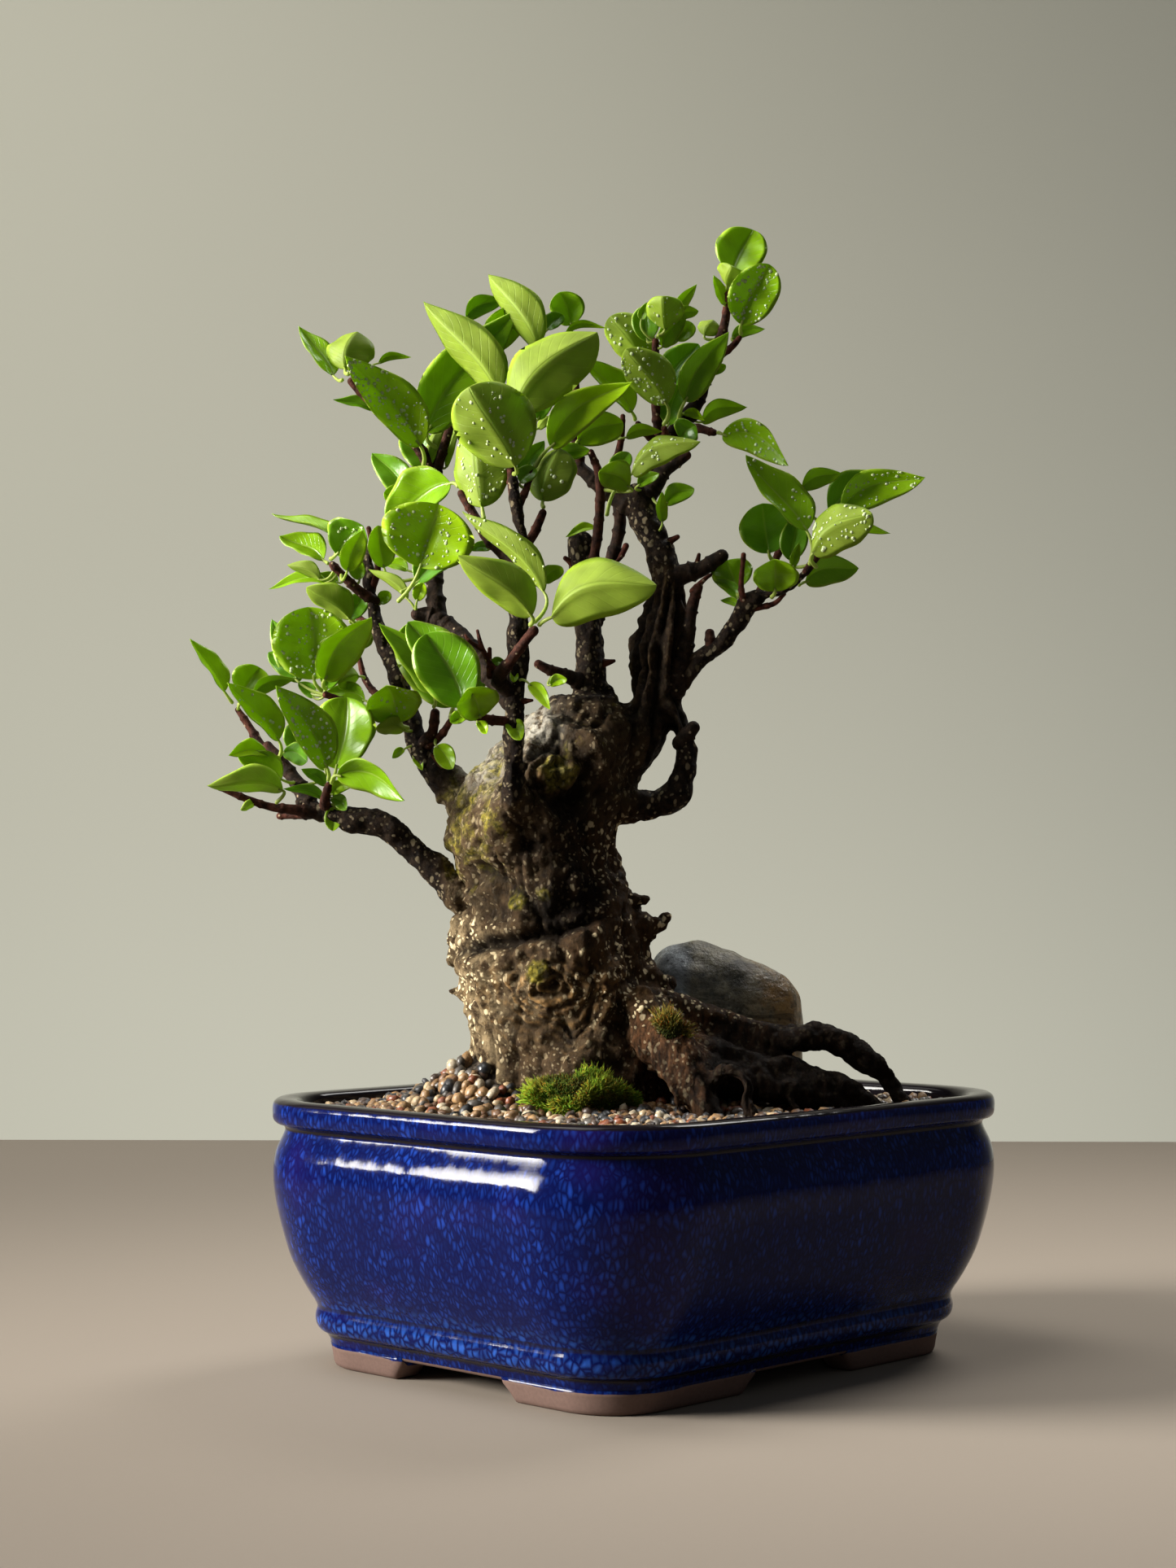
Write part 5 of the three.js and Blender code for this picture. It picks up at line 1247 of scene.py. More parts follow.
def bark_relief(points, normals, bulk):
    """How far the bark stands out, in millimetres, and the marks on it, which paint light on the lit side
    and shade in the recesses.

    Lumps, cracks and crumbs are noises of falling size. The knots are rings about a centre on
    the drawing, as cosines of a warped distance that die away outwards; the groove and the
    hollows are bells. Bulk is 1 on the trunk and small on the limbs.
    """
    across, back, up = on_drawing(points).T
    facing = np.clip(1.6 * (normals @ TOWARDS_EYE) + 0.1, 0, 1)

    def far(u, z, wide=1.0, tall=1.0):
        """Distance on the drawing from a place, with either direction counted for more or less."""
        return np.hypot((across - u) * wide, (up - z) * tall)

    warp = 2.6 * noise(points, 9, 2) + 1.1 * noise(points, 4, 12)
    tall = points * np.array([1, 1, 0.4])
    lengthwise = ridged(tall, 8, 3)
    crumbs = ridged(points, 3.4, 15)
    rise = 2.4 * fractal(points, 17, 2, 1) + 0.8 * fractal(tall, 5.5, 3, 4)
    rise += 0.9 * fractal(points, 7, 2, 14)
    rise += 0.8 * fractal(points, 2.6, 2, 8) - 1.5 * lengthwise ** 3 - 0.7 * crumbs ** 2
    eye = far(-29, 121, 0.80, 1.15) + 1.3 * warp
    rings = np.cos(eye * 2 * np.pi / 3.2 + 2.0 * noise(points, 6, 7))
    below = 0.25 + 0.75 * smooth_step(9, -5, up - 122)
    ring_zone = bell(np.maximum(eye - 5, 0), 13) * facing * (up < 139) * below
    rise += ring_zone * (0.95 * rings + 0.6) + (
        3.8 * bell(far(-32, 124), 6) - 2.6 * bell(far(-28, 120) + 0.5 * warp, 2.6)) * facing
    small = far(-8, 121) + 0.7 * warp
    small_zone = bell(small, 8) * facing
    rise += small_zone * (0.6 * np.cos(small * 2 * np.pi / 2.6) + 0.9)
    dome = far(-27, 189, 1.0, 0.9) + warp
    dome_zone = bell(dome, 19) * facing
    moat = bell(dome - 9, 2.2) * (0.35 + 0.65 * smooth_step(-14, 10, (across + 27) - (up - 189)))
    rise += dome_zone * (3.0 * bell(dome - 14, 3.2) - 4.2 * moat + 1.6 * bell(dome, 5)
                         + 0.8 * np.cos(dome * 2 * np.pi / 3.3))
    rise -= 3.2 * bell(far(-29, 184) + 0.5 * warp, 2.0) * facing
    groove_at = 136.5 + 0.22 * (across + 38) + 2.4 * noise(points, 12, 3)
    groove = (bell(up - groove_at, 2.2) * smooth_step(-66, -52, across)
              * smooth_step(-8, -22, across) * np.maximum(facing, 0.35))
    rise -= 4.6 * groove
    hollows = np.zeros(len(points))
    for u, z, reach, deep in HOLLOWS:
        hollow = bell(far(u, z) + 0.5 * warp, reach) * facing
        rise -= deep * hollow
        hollows = np.maximum(hollows, 0.75 * hollow)
    for u, z, reach, high in BOSSES:
        rise += high * bell(far(u, z) + 0.4 * warp, reach) * facing
    dead = smooth_step(-6, 0, across) * smooth_step(197, 207, up) * smooth_step(262, 246, up)
    dead = dead * smooth_step(24, 15, across)
    around = np.arctan2(across - 3 - (up - 203) * 0.16, 5 - back)
    flutes = np.cos(around * 9 + 0.06 * up + 3.4 * noise(points * [1, 1, 0.35], 8, 5))
    rise += dead * (1.3 * flutes - 0.4 - 1.5 * bell(far(4, 226, 1, 0.35), 5) * facing)
    slots = smooth_step(0.0, 0.7, -flutes) * dead
    fibres = smooth_step(-4, 6, across) * smooth_step(112, 104, up) * facing
    rise += fibres * 0.9 * noise(points * [1, 1, 0.35], 2.2, 6)
    left = smooth_step(-40, -54, across)
    low = smooth_step(146, 136, up)
    right_flank = smooth_step(-30, -16, across) * smooth_step(182, 168, up) * smooth_step(104, 114, up)
    crusts = (bell(far(-33, 125), 6) + bell(dome, 6) + bell(far(-40, 147.5), 3.5)
              + bell(far(-31, 150), 4))
    shaded = bell(far(-24, 160, 1, 0.62), 13) * smooth_step(0.2, 0.7, facing)
    marks = {
        "ring": np.clip(ring_zone * smooth_step(0.0, 0.8, rings) + small_zone * 0.4
                        + 0.9 * bell(far(-27, 188), 6) * facing, 0, 1)
        + dead * 0.55 * bell(flutes - 0.8, 0.15) * smooth_step(215, 222, up),
        # Pale grey patches high on the trunk's left, and a painted highlight on the dome's middle.
        "pale": np.clip(0.9 * bell(far(-35, 206), 8) + 0.8 * bell(far(-53, 196, 1, 0.8), 8)
                        + 1.2 * bell(far(-25, 191) + 0.4 * warp, 2.2) * facing, 0, 1),
        # Painted light: the trunk's left side, most of all low down, and the knot, where the window light
        # falls.
        "lit": np.clip(0.06 + 0.95 * left * low + 0.4 * ring_zone + 0.16 * left, 0, 1) * bulk,
        "root": np.maximum(smooth_step(-10, 2, across) * smooth_step(118, 108, up), 0.42 * right_flank),
        "green": np.clip(0.30 * smooth_step(4, -6, across) * smooth_step(142, 160, up)
                         + 0.75 * np.minimum(crusts, 1) * facing
                         + 0.16 * smooth_step(-30, -50, across) * smooth_step(136, 150, up)
                         - 0.3 * shaded, 0, 1) * bulk,
        "pores": np.clip(0.22 + 0.9 * right_flank + left * low, 0, 1) * (1 - 0.85 * dead),
        "limb": np.clip(np.maximum((1 - bulk) * smooth_step(112, 122, up), dead * 0.8), 0, 1),
        # Painted shade in the groove, the hollows, the dome's moat, the shaded middle, the flute slots and
        # the cracks, and painted shadow on the low front roots and the root mass on the right.
        "dark": np.clip(1.15 * groove + hollows + 0.95 * dome_zone * moat + 0.55 * shaded
                        + 0.9 * slots + 0.5 * lengthwise ** 4 + 0.35 * crumbs ** 3
                        + 0.55 * smooth_step(-12, 6, across) * smooth_step(104, 90, up)
                        * smooth_step(0.1, 0.6, facing)
                        + 0.9 * smooth_step(19, 27, across) * smooth_step(114, 108, up), 0, 1),
    }
    return rise, marks


def make_trunk():
    """Trunk, roots and stout limbs as one skin, joined by remeshing and then given bark."""
    skin = Skin()
    skin.add_rings(trunk_rings())
    stout = [limb for limbs in BRANCHES.values() for limb in limbs if limb[0][3] >= STOUT]
    for stations in ROOTS + FINE_ROOTS + SPUR_STUBS + stout:
        path, radius = limb_path(stations)
        skin.add_rings(tube(path, radius, 18))
    mesh = skin.mesh("wood")
    mesh = with_modifier(mesh, "REMESH", mode="VOXEL", voxel_size=sizes().bark_grain,
                         use_smooth_shade=True)
    mesh = with_modifier(mesh, "SMOOTH", factor=0.5, iterations=4)
    points, normals = mesh_arrays(mesh)
    bulk = trunk_share(points)
    rise, marks = bark_relief(points, normals, smooth_step(0.42, 0.8, bulk))
    points += (rise * bulk)[:, None] * normals
    mesh.vertices.foreach_set("co", (points * MM).astype(np.float32).ravel())
    for name, values in marks.items():
        keep_number(mesh, name, values)
    finished(mesh, "trunk_and_roots", bark_finish(), "bark", "tree")


def trunk_share(points):
    """1 on the trunk, 0.9 on the dead limb, 0.55 on the root plate and 0.42 on the other limbs."""
    across, back, up = on_drawing(points).T
    section = np.array(TRUNK, float)
    half = np.interp(up, section[:, 2], section[:, 3])
    middle = np.interp(up, section[:, 2], section[:, 0])
    near = np.hypot(across - middle, back + 3) / np.maximum(half, 1)
    trunk = smooth_step(1.35, 1.08, near) * smooth_step(220, 210, up)
    limb = (smooth_step(-12, -4, across) * smooth_step(196, 206, up) * smooth_step(270, 250, up)
            * smooth_step(22, 14, across))
    roots = 0.55 * smooth_step(118, 108, up)
    return np.clip(np.maximum(np.maximum(trunk, 0.9 * limb), roots), 0.42, 1)


def make_branches():
    """The finer limbs: tubes with swollen joints where leaves once grew."""
    random = np.random.default_rng(9)
    finish = twig_finish()
    for branch, limbs in BRANCHES.items():
        fine = [limb for limb in limbs if limb[0][3] < STOUT]
        if branch == "front":
            fine += FINE_TWIGS
        skin = Skin("young", "cut", "green")
        for stations in fine:
            path, radius = limb_path(stations, 0.7)
            travelled = np.concatenate([[0], np.cumsum(np.linalg.norm(np.diff(path, axis=0), axis=1))])
            pitch, phase = random.uniform(4.5, 7.5), random.uniform(0, 6)
            joints = np.maximum(np.cos((travelled + phase) / pitch * 2 * np.pi), 0) ** 8
            radius = radius * (1 + 0.22 * joints)
            sides = 14 if radius.max() > 2.2 else 10
            grid = tube(path, radius, sides)
            centres = grid.mean(axis=1, keepdims=True)
            rough = 1 + 0.10 * noise(grid, 2.4, 2) + 0.10 * noise(grid, 5, 6)
            grid = centres + (grid - centres) * rough[..., None]
            thin = np.interp(np.linspace(0, 1, grid.shape[0]), np.linspace(0, 1, len(radius)), radius)
            skin.add_rings(grid, young=np.clip((2.3 - thin) / 1.2, 0, 1))
        if skin.count:
            skin.piece(f"branches_{branch}", finish, "bark", "tree")


# ---- Leaves ----

# Leaves by branch: [stalk foot, blade foot, blade tip, width, roll, cup, bow, tone, wetness].
# Roll turns the upper face away from the front, in degrees; tone runs from young to hardened, and also
# carries painted light: glowing leaves sit towards the young end and shaded ones towards the hardened end.
LEAVES = {
    "low_left": [
        ((-102, -10, 188), (-102.5, -12, 192), (-119.5, -20, 219), 12, 20, 0.3, 2, 0.4, 0.8),
        ((-100.5, -6, 187.5), (-99.5, -4, 191.5), (-96, 2, 215), 20, -10, 0.2, 2, 0.45, 0),
        ((-118, -2, 196), (-118.5, -4, 201), (-135.5, -14, 220), 10, 40, 0.4, 2, 0.2, 0.2),
        ((-134, 9, 213.5), (-136.5, 7, 217), (-148, 2, 234.5), 8, 55, 0.3, 1, 0.15, 0),
        ((-131.5, 13, 213), (-130.5, 15, 215), (-125, 19, 225), 11, 10, 0.3, 1, 0.3, 0),
        ((-119, -11, 180.5), (-117, -13, 184.5), (-142, -20, 186), 9, 150, 0.3, 2, 0.15, 0),
        ((-101, -12, 187), (-99, -14, 189.5), (-77, -24, 181), 10, 30, 0.3, 2, 0.5, 0),
    ],
    "mid_left": [
        ((-104.5, 1, 217.5), (-107, -1, 221), (-109, -6, 245), 23, 0, 0.25, 3, 0.3, 0.7),
        ((-103, -3, 218), (-103.5, -8, 221), (-88, -20, 241.5), 12, 35, 0.4, 2, 0.05, 0),
        ((-76, 5.5, 205), (-79, 3, 207), (-83, -9, 219), 16, 0, 0.3, 2, 0.2, 0.3),
        ((-67.3, 1.5, 212), (-68, -4, 217), (-85.5, -10, 239.5), 10, -30, 0.3, 2, 0.6, 0),
        ((-61.5, 0, 209), (-61, 4, 212), (-75, 8, 240), 22, 0, 0.2, 2, 0.65, 0),
        ((-93, 10, 239), (-95, 9, 241), (-109.5, 4, 251.5), 10, 150, 0.3, 2, 0.25, 0),
    ],
    "upper_left": [
        ((-79, -31, 247), (-72, -34, 258), (-66, -38, 279), 26, 0, 0.22, 3, 0.15, 0.5),
        ((-59.5, -24, 285), (-62, -22, 286), (-83, -14, 273), 16, 20, 0.25, 2, 0.5, 0),
        ((-78, -27, 250), (-73, -25, 253), (-55, -22, 268), 10, -20, 0.3, 2, 0.85, 0),
        ((-101.5, 7, 261), (-99.5, 4, 262.5), (-91, -4, 272), 13, 0, 0.3, 2, 0.75, 0.3),
        ((-102.5, 12, 259.5), (-104, 14, 260.5), (-118.5, 20, 268.5), 9, 30, 0.3, 2, 0.4, 0),
        ((-100, 14, 262.5), (-100, 17, 268), (-121, 24, 276), 7, 60, 0.3, 2, 0.35, 0),
        ((-67, -8, 298), (-70, -12, 303), (-40, -12, 344), 16, 10, 0.2, 2, 0.5, 0),
        ((-71, -15, 292), (-72, -18, 298.5), (-97, -28, 328.5), 14, 15, 0.3, 3, 0.1, 1),
        ((-96, -14, 322.5), (-97, -11, 324), (-93, -7, 336.5), 14, 170, 0.35, 2, 0.3, 0),
        ((-98, -15, 320.5), (-101, -9, 322), (-112.5, -2, 338.5), 8, 30, 0.3, 2, 0.4, 0),
    ],
    "front": [
        ((-35.5, -54.5, 239), (-35, -57, 242), (-59.5, -63, 262), 12, 165, 0.3, 3, 0.2, 0),
        ((-34, -50, 240), (-31, -47, 250), (-58, -42, 276.5), 9, 140, 0.3, 3, 0.3, 0.3),
        ((-32.5, -54.5, 239), (-28.5, -58, 241.5), (6, -66, 252), 17, 170, 0.3, 3, 0.15, 0),
        ((-41, -36.5, 289), (-40.5, -42, 291.5), (-56, -52, 318), 22, 170, 0.3, 3, 0.4, 0.3),
        ((-51, -32, 274.5), (-51.5, -31, 278), (-54, -30, 304.5), 17, 160, 0.3, 2, 0.3, 0.5),
        ((-31.3, -28, 278), (-31.5, -26, 280), (-26, -23, 297.5), 14, 160, 0.3, 2, 0.65, 0.2),
        ((-34, -25.5, 291.5), (-29, -25, 298), (-2, -32, 319.5), 11, 20, 0.3, 3, 0.1, 0),
        ((-42, -27, 306), (-40.5, -30, 311), (-13.5, -26, 336), 19, 170, 0.3, 3, 0.2, 0),
        ((-43.5, -25, 306), (-46, -23, 316), (-71, -15, 346.5), 14, 150, 0.3, 3, 0.15, 0),
        ((-34.5, -16.5, 328), (-33, -15, 332), (-49.5, -8, 355.5), 12, 150, 0.3, 3, 0.25, 0),
    ],
    "centre": [
        ((-22.3, 8, 336), (-22, 8, 338.5), (-26, 4, 349.5), 10, 0, 0.3, 1, 0.5, 0),
        ((-1, 3, 307), (-2, 1, 309.5), (-17.5, -6, 327), 10, 30, 0.3, 2, 0.1, 0),
        ((3, 10, 321.5), (2, 12, 325), (-9, 8, 341.5), 13, 160, 0.3, 2, 0.25, 0.6),
        ((8.6, -2, 305.5), (9.5, -6, 312), (-4, -13, 330.5), 13, 165, 0.3, 2, 0.25, 0.8),
        ((7, 3.5, 335), (9, 2, 337), (8, -5, 348), 11, 170, 0.35, 2, 0.3, 0.4),
        ((13.5, 6, 307.5), (15.5, 2, 313), (30, -3, 336), 10, 20, 0.3, 2, 0.55, 0),
        ((-10.3, -12, 275.5), (-2, -15, 289), (20.5, -22, 299.5), 10, 150, 0.3, 2, 0.25, 0.4),
    ],
    "right": [
        ((30, 14, 351.5), (31.5, 15, 355), (38, 19, 370), 15, 0, 0.25, 2, 0.35, 0),
        ((34, 7, 335.5), (34, 5, 338.5), (43.5, -1, 358.5), 14, 10, 0.3, 2, 0.4, 1),
        ((26.5, 4.5, 302.5), (28, 3, 302), (49.5, -8, 291.5), 10, 30, 0.3, 2, 0.4, 0.5),
    ],
    "far_right": [
        ((56.5, -11.5, 259), (55.5, -13, 270), (35.5, -10, 295), 13, 30, 0.3, 3, 0.45, 0.2),
        ((58.5, -13, 258), (57.5, -17, 262.5), (77, -26, 275.5), 14, 160, 0.3, 2, 0.25, 0.7),
        ((65, -5, 272), (67, -6, 277), (94.5, -12, 287.5), 11, 20, 0.3, 2, 0.35, 0.6),
        ((64, -1.5, 271.5), (63, 2, 275), (85, 9, 288), 12, 0, 0.2, 2, 0.8, 0),
        ((53, -4, 252), (55, -2, 253), (72.5, 4, 257.5), 9, 20, 0.3, 1, 0.55, 0),
        ((44, 2, 260.5), (43, 0, 262.5), (41, -6, 279), 15, 0, 0.2, 2, 0.85, 0),
        ((44, -9, 248), (45, -11, 250), (45, -17, 260.5), 13, 0, 0.3, 1, 0.3, 0),
    ],
}
# Small leaves that the frame leaves out: [blade foot, blade tip, width, roll, tone], with tone carrying
# painted light as above.
SMALL_LEAVES = {
    "low_left": [
        ((-122, -6, 196), (-135, -16, 196), 6, 30, 0.1), ((-117.5, -7, 188), (-132, -10, 196), 8, 20, 0.4),
        ((-103, -4, 181), (-117, -8, 185), 3.5, 20, 0.8), ((-100, -5, 179), (-100.5, -7, 171), 5, 0, 0.3),
        ((-103, -5, 186), (-111, -8, 191.5), 4, 20, 0.8), ((-98, -6, 190), (-90, -9, 191), 2.5, 0, 0.1),
        ((-101, -5, 183), (-93, -9, 187), 4, 10, 0.2), ((-101, -6, 182), (-96, -8, 178), 4, 0, 0.7),
        ((-126, -9, 180), (-131, -12, 178), 3, 150, 0.1), ((-114, 8, 197), (-110, 14, 208), 8, 0, 0.75),
        ((-117, 2, 197), (-109, 0, 194), 6, 0, 0.8), ((-103, 0, 191), (-109, 4, 202), 5, 0, 0.7),
    ],
    "mid_left": [
        ((-112, 8, 220), (-121, 14, 241), 9, 0, 0.75), ((-113, 6, 221), (-122, 10, 230), 7, 0, 0.8),
        ((-103, 4, 218), (-93.5, 10, 232), 8, 0, 0.75), ((-92, 17, 222), (-99, 10, 220), 7, 160, 0.3),
        ((-92.5, 25, 231), (-89, 26, 239), 7, 160, 0.3), ((-127, 2, 216), (-113, 4, 221.5), 5, 30, 0.4),
        ((-107, 4, 215), (-112, 5, 220), 4, 0, 0.8), ((-98, 22, 236), (-107, 26, 244), 6, 0, 0.75),
        ((-90, 12, 214), (-103, 14, 217), 6, 0, 0.5), ((-77, 5, 204), (-86.5, -4, 205), 6, 160, 0.2),
        ((-59, 3, 215), (-48.5, 8, 225), 9, 0, 0.7), ((-52, -45, 208.5), (-56, -52, 218), 12, 10, 0.1),
        ((-56, -44, 209), (-62, -46, 207), 4, 20, 0.4), ((-53, -45, 207), (-50, -47, 203), 3, 0, 0.1),
        ((-66.5, 3, 199), (-61, 0, 191.5), 6, 0, 0.2), ((-74, 8, 195), (-71, 5, 191), 2.5, 0, 0.2),
        ((-77, 8, 198), (-81, 6, 195), 2.5, 0, 0.2), ((-43, -40, 207), (-38.5, -44, 201), 5, 0, 0.2),
        ((-41, -40, 223.5), (-41, -43, 220), 2.5, 0, 0.3), ((-36, -44, 219.5), (-29, -48, 211), 4, 10, 0.1),
        ((-29, -10, 219), (-23.5, -12, 221), 3.5, 0, 0.2), ((-49, -42, 226), (-43, -44, 226), 2.5, 0, 0.7),
    ],
    "upper_left": [
        ((-96, -4, 257), (-91, -12, 270.5), 7, 20, 0.05), ((-105, 10, 254), (-116, 12, 259), 5, 150, 0.3),
        ((-103, 10, 253), (-122, 14, 251), 5, 30, 0.4), ((-95, 14, 241), (-91, 16, 249), 7, 0, 0.8),
        ((-92, 12, 254), (-94, 10, 262), 5, 0, 0.5), ((-99, 12, 253), (-107, 12, 256), 3.5, 20, 0.4),
        ((-76, -22, 247.5), (-89, -18, 257.5), 4, 150, 0.3), ((-76, -14, 257), (-85, -12, 260), 4, 20, 0.4),
        ((-49, -30, 264), (-56, -30, 264), 3, 0, 0.8), ((-84, -16, 258), (-86, -18, 272), 8, 20, 0.15),
        ((-73, -24, 247), (-71, -27, 253), 4, 0, 0.05), ((-85, 15, 246), (-82, 14, 250), 4, 0, 0.3),
        ((-87, -14, 310), (-101, -16, 314), 4.5, 30, 0.75), ((-85, -13, 313), (-90, -10, 322), 5, 0, 0.8),
        ((-86, -10, 326), (-75, -8, 328), 2.5, 20, 0.3), ((-70, -6, 291), (-60, -8, 316), 4, 150, 0.5),
        ((-63.5, -2, 291), (-58, -4, 309), 3, 150, 0.4), ((-70, -4, 290), (-77, 0, 304), 10, 0, 0.75),
        ((-77, -6, 281), (-88, 0, 296), 9, 0, 0.75), ((-76, -10, 279), (-84, -12, 283), 7, 20, 0.1),
        ((-65, -6, 288), (-79, -8, 286), 5, 150, 0.3),
    ],
    "front": [
        ((-31, -32, 253), (-25, -34, 258), 5, 20, 0.4), ((-58, -47, 212), (-70, -46, 236), 17, 0, 0.75),
        ((-61, -44, 221), (-76, -40, 240), 12, 10, 0.7), ((-50, -10, 330), (-35, -6, 345.5), 10, 20, 0.1),
        ((-57, -4, 341), (-44, -2, 347), 6, 20, 0.75), ((-30, -8, 337), (-25, -6, 342), 5, 0, 0.8),
        ((-24, -14, 336), (-10.5, -12, 337.5), 2.5, 30, 0.05), ((-38, -26, 288), (-31, -24, 300), 6, 0, 0.7),
        ((-39, -30, 286), (-34, -28, 291), 5, 0, 0.7), ((-20, -10, 300), (-5, -8, 306), 10, 20, 0.1),
        ((-4, -6, 301), (8, -5, 303), 4, 20, 0.05), ((-26, -14, 294), (-16, -13, 297), 5, 10, 0.6),
        ((-33, -18, 304), (-26, -16, 308), 4, 150, 0.3), ((-33, -20, 307), (-24, -18, 324), 6, 0, 0.75),
        ((-28.5, -14, 312), (-25, -12, 319), 4, 0, 0.6),
    ],
    "centre": [
        ((3, 5, 333), (2, 7, 344.5), 8, 0, 0.75), ((1, 4, 340), (3, 5, 346), 3, 0, 0.4),
        ((13, 4, 342), (19.5, 6, 352), 4, 20, 0.1), ((13, 4, 341), (20, 6, 343), 4, 20, 0.2),
        ((8, 4, 331), (16, 6, 342), 6, 20, 0.3), ((13, 6, 333), (18, 7, 339), 6, 0, 0.15),
        ((10, 16, 318), (20, 20, 332), 10, 0, 0.9), ((22, 12, 335), (25, 13, 340), 7, 160, 0.35),
        ((19, 8, 318), (23, 6, 330), 4, 30, 0.3), ((10, 8, 305), (14, 10, 319), 7, 0, 0.75),
        ((14, 6, 300.5), (19, 2, 305), 8.5, 0, 0.8), ((15, 8, 309), (22, 8, 306.5), 3, 20, 0.1),
        ((21, 16, 306), (36, 20, 311), 6, 20, 0.1), ((9, 2, 279), (18.5, 0, 284), 6, 10, 0.6),
        ((8, 1, 273), (8, -1, 283), 4, 30, 0.1), ((-3, -18, 284.5), (-13, -24, 289.5), 9, 0, 0.15),
        ((-8, 2, 288), (-3, 3, 296), 6, 0, 0.75), ((0, 0, 285), (7, -2, 289), 4, 0, 0.6),
        ((-14, -8, 271), (-24, -10, 268), 3, 20, 0.2),
    ],
    "right": [
        ((29.5, 10, 351.5), (31, 4, 358), 9, 160, 0.2), ((28.5, 11, 345), (25, 9, 355), 4, 20, 0.05),
        ((31, 10, 334), (42, 8, 337), 4, 20, 0.6), ((25, 12, 322), (29, 11, 325), 3, 0, 0.4),
    ],
    "far_right": [
        ((54, -8, 284), (67, -6, 289), 6, 20, 0.4), ((60, -8, 268), (83, -10, 269), 5, 30, 0.4),
        ((50, -4, 260), (53, -2, 276), 8, 0, 0.8), ((32, 2, 250), (29, 6, 260), 12, 0, 0.5),
        ((33, 0, 247.5), (24.5, 2, 254), 4, 0, 0.75), ((33, -1, 245), (27, 0, 247), 2.5, 0, 0.5),
        ((51, -6, 258), (53, -8, 266), 3, 20, 0.2),
    ],
}
BLADE_ROWS, BLADE_COLUMNS = 26, 10
LEAF_FULLNESS, LEAF_ARCH = 1.16, 0.17
DROPS_PER_AREA = 0.30          # on a fully wet leaf, by its length times its width
DROP_STEP = 0.01               # how far on a blade the two directions of its slope are taken
DROP_FLATNESS = 0.55


def leaf_frame(foot, tip, roll):
    """The blade's direction, its upper face's direction and its side, square to each other."""
    along = unit(tip - foot)
    face = unit(TOWARDS_EYE - TOWARDS_EYE.dot(along) * along)
    c, s = math.cos(math.radians(roll)), math.sin(math.radians(roll))
    face = c * face + s * np.cross(along, face)
    return along, face, np.cross(along, face)


def blade_surface(foot, tip, width, roll, cup, bow, phase, s, t):
    """A point of the blade's middle sheet at s along and t across, both as arrays.

    The half width is s^a (1 - s)^b of the greatest, where a slender blade has the larger b and so
    the sharper tip. The halves fold up with |t|^1.25 by the cup, the middle sags by the bow, the
    margin waves, and a blade that leans arches up from its foot by s (1 - s)^1.6.
    """
    along, face, side = leaf_frame(foot, tip, roll)
    size = np.linalg.norm(tip - foot)
    start, end = 0.55, float(np.interp(width / size, [0.34, 0.66], [1.0, 0.52]))
    inside = np.clip(s, 0, 1)
    peak = start / (start + end)
    wide = (inside / peak) ** start * ((1 - inside) / (1 - peak)) ** end
    reach = LEAF_FULLNESS * width / 2 * np.maximum(wide, 0.02)
    wave = 0.05 * width * np.sin(2 * np.pi * (2.3 * s + phase) + 1.5 * t) * t ** 2
    rise = 1.5 * cup * reach * np.abs(t) ** 1.25 - 4 * bow * s * (1 - s) + wave * wide
    rise = rise - 0.05 * width * bell(t, 0.10) * wide
    upward = np.array([0, 0, 1.0]) - along[2] * along
    arch = LEAF_ARCH * size * 4.6 * inside * (1 - inside) ** 1.6
    sway = 0.025 * size * np.sin(np.pi * s) * math.sin(2 * np.pi * phase)
    return (foot + (s * size)[..., None] * along + (t * reach + sway)[..., None] * side
            + rise[..., None] * face + arch[..., None] * upward), face


def add_leaf(skin, stalk_foot, foot, tip, width, roll, cup, bow, tone, phase):
    """A blade as one closed shell with an upper and a lower face, and its bent stalk."""
    s = (0.5 - 0.5 * np.cos(np.pi * np.linspace(0, 1, BLADE_ROWS)))[:, None]
    t = np.linspace(-1, 1, BLADE_COLUMNS + 1)
    both = np.concatenate([t, t[-2:0:-1]])[None]
    upper = np.concatenate([np.ones(BLADE_COLUMNS + 1), np.zeros(BLADE_COLUMNS - 1)])
    upper[[0, BLADE_COLUMNS]] = 0.5
    s_grid, t_grid = np.broadcast_arrays(s, both)
    middle, face = blade_surface(foot, tip, width, roll, cup, bow, phase, s_grid, t_grid)
    thick = sizes().leaf_thickness / MM / 2 * (0.35 + 0.65 * (1 - np.abs(t_grid) ** 3))
    thick = thick * np.minimum(1, width / 9)
    rib = 0.35 * bell(t_grid, 0.13) * (1 - s_grid) * min(1, width / 12)
    lift = np.where(upper[None] == 1, thick, np.where(upper[None] == 0, -thick - rib, 0))
    grid = middle + lift[..., None] * face
    skin.add_rings(grid[:, ::-1], tone=tone, along=s_grid, across=t_grid[:, ::-1],
                   upper=np.broadcast_to(upper[::-1], s_grid.shape), stalk=0)
    run = np.linspace(0, 1, 9)[:, None]
    along = unit(tip - foot)
    bend = foot - along * np.linalg.norm(foot - stalk_foot) / 2
    end = foot + along * 0.05 * np.linalg.norm(tip - foot)
    path = (1 - run) ** 2 * stalk_foot + 2 * run * (1 - run) * bend + run ** 2 * end
    radius = sizes().petiole / MM * min(1, 0.55 + width / 26) * (1.25 - 0.5 * run[:, 0])
    skin.add_rings(tube(path, radius, 7), stalk=1, tone=tone, upper=0.5)


def nearest_wood(point):
    """The nearest point on any limb's centre line."""
    lines = np.concatenate([limb_path(limb, 2.0)[0] for limbs in BRANCHES.values() for limb in limbs])
    return lines[np.argmin(np.linalg.norm(lines - point, axis=1))]


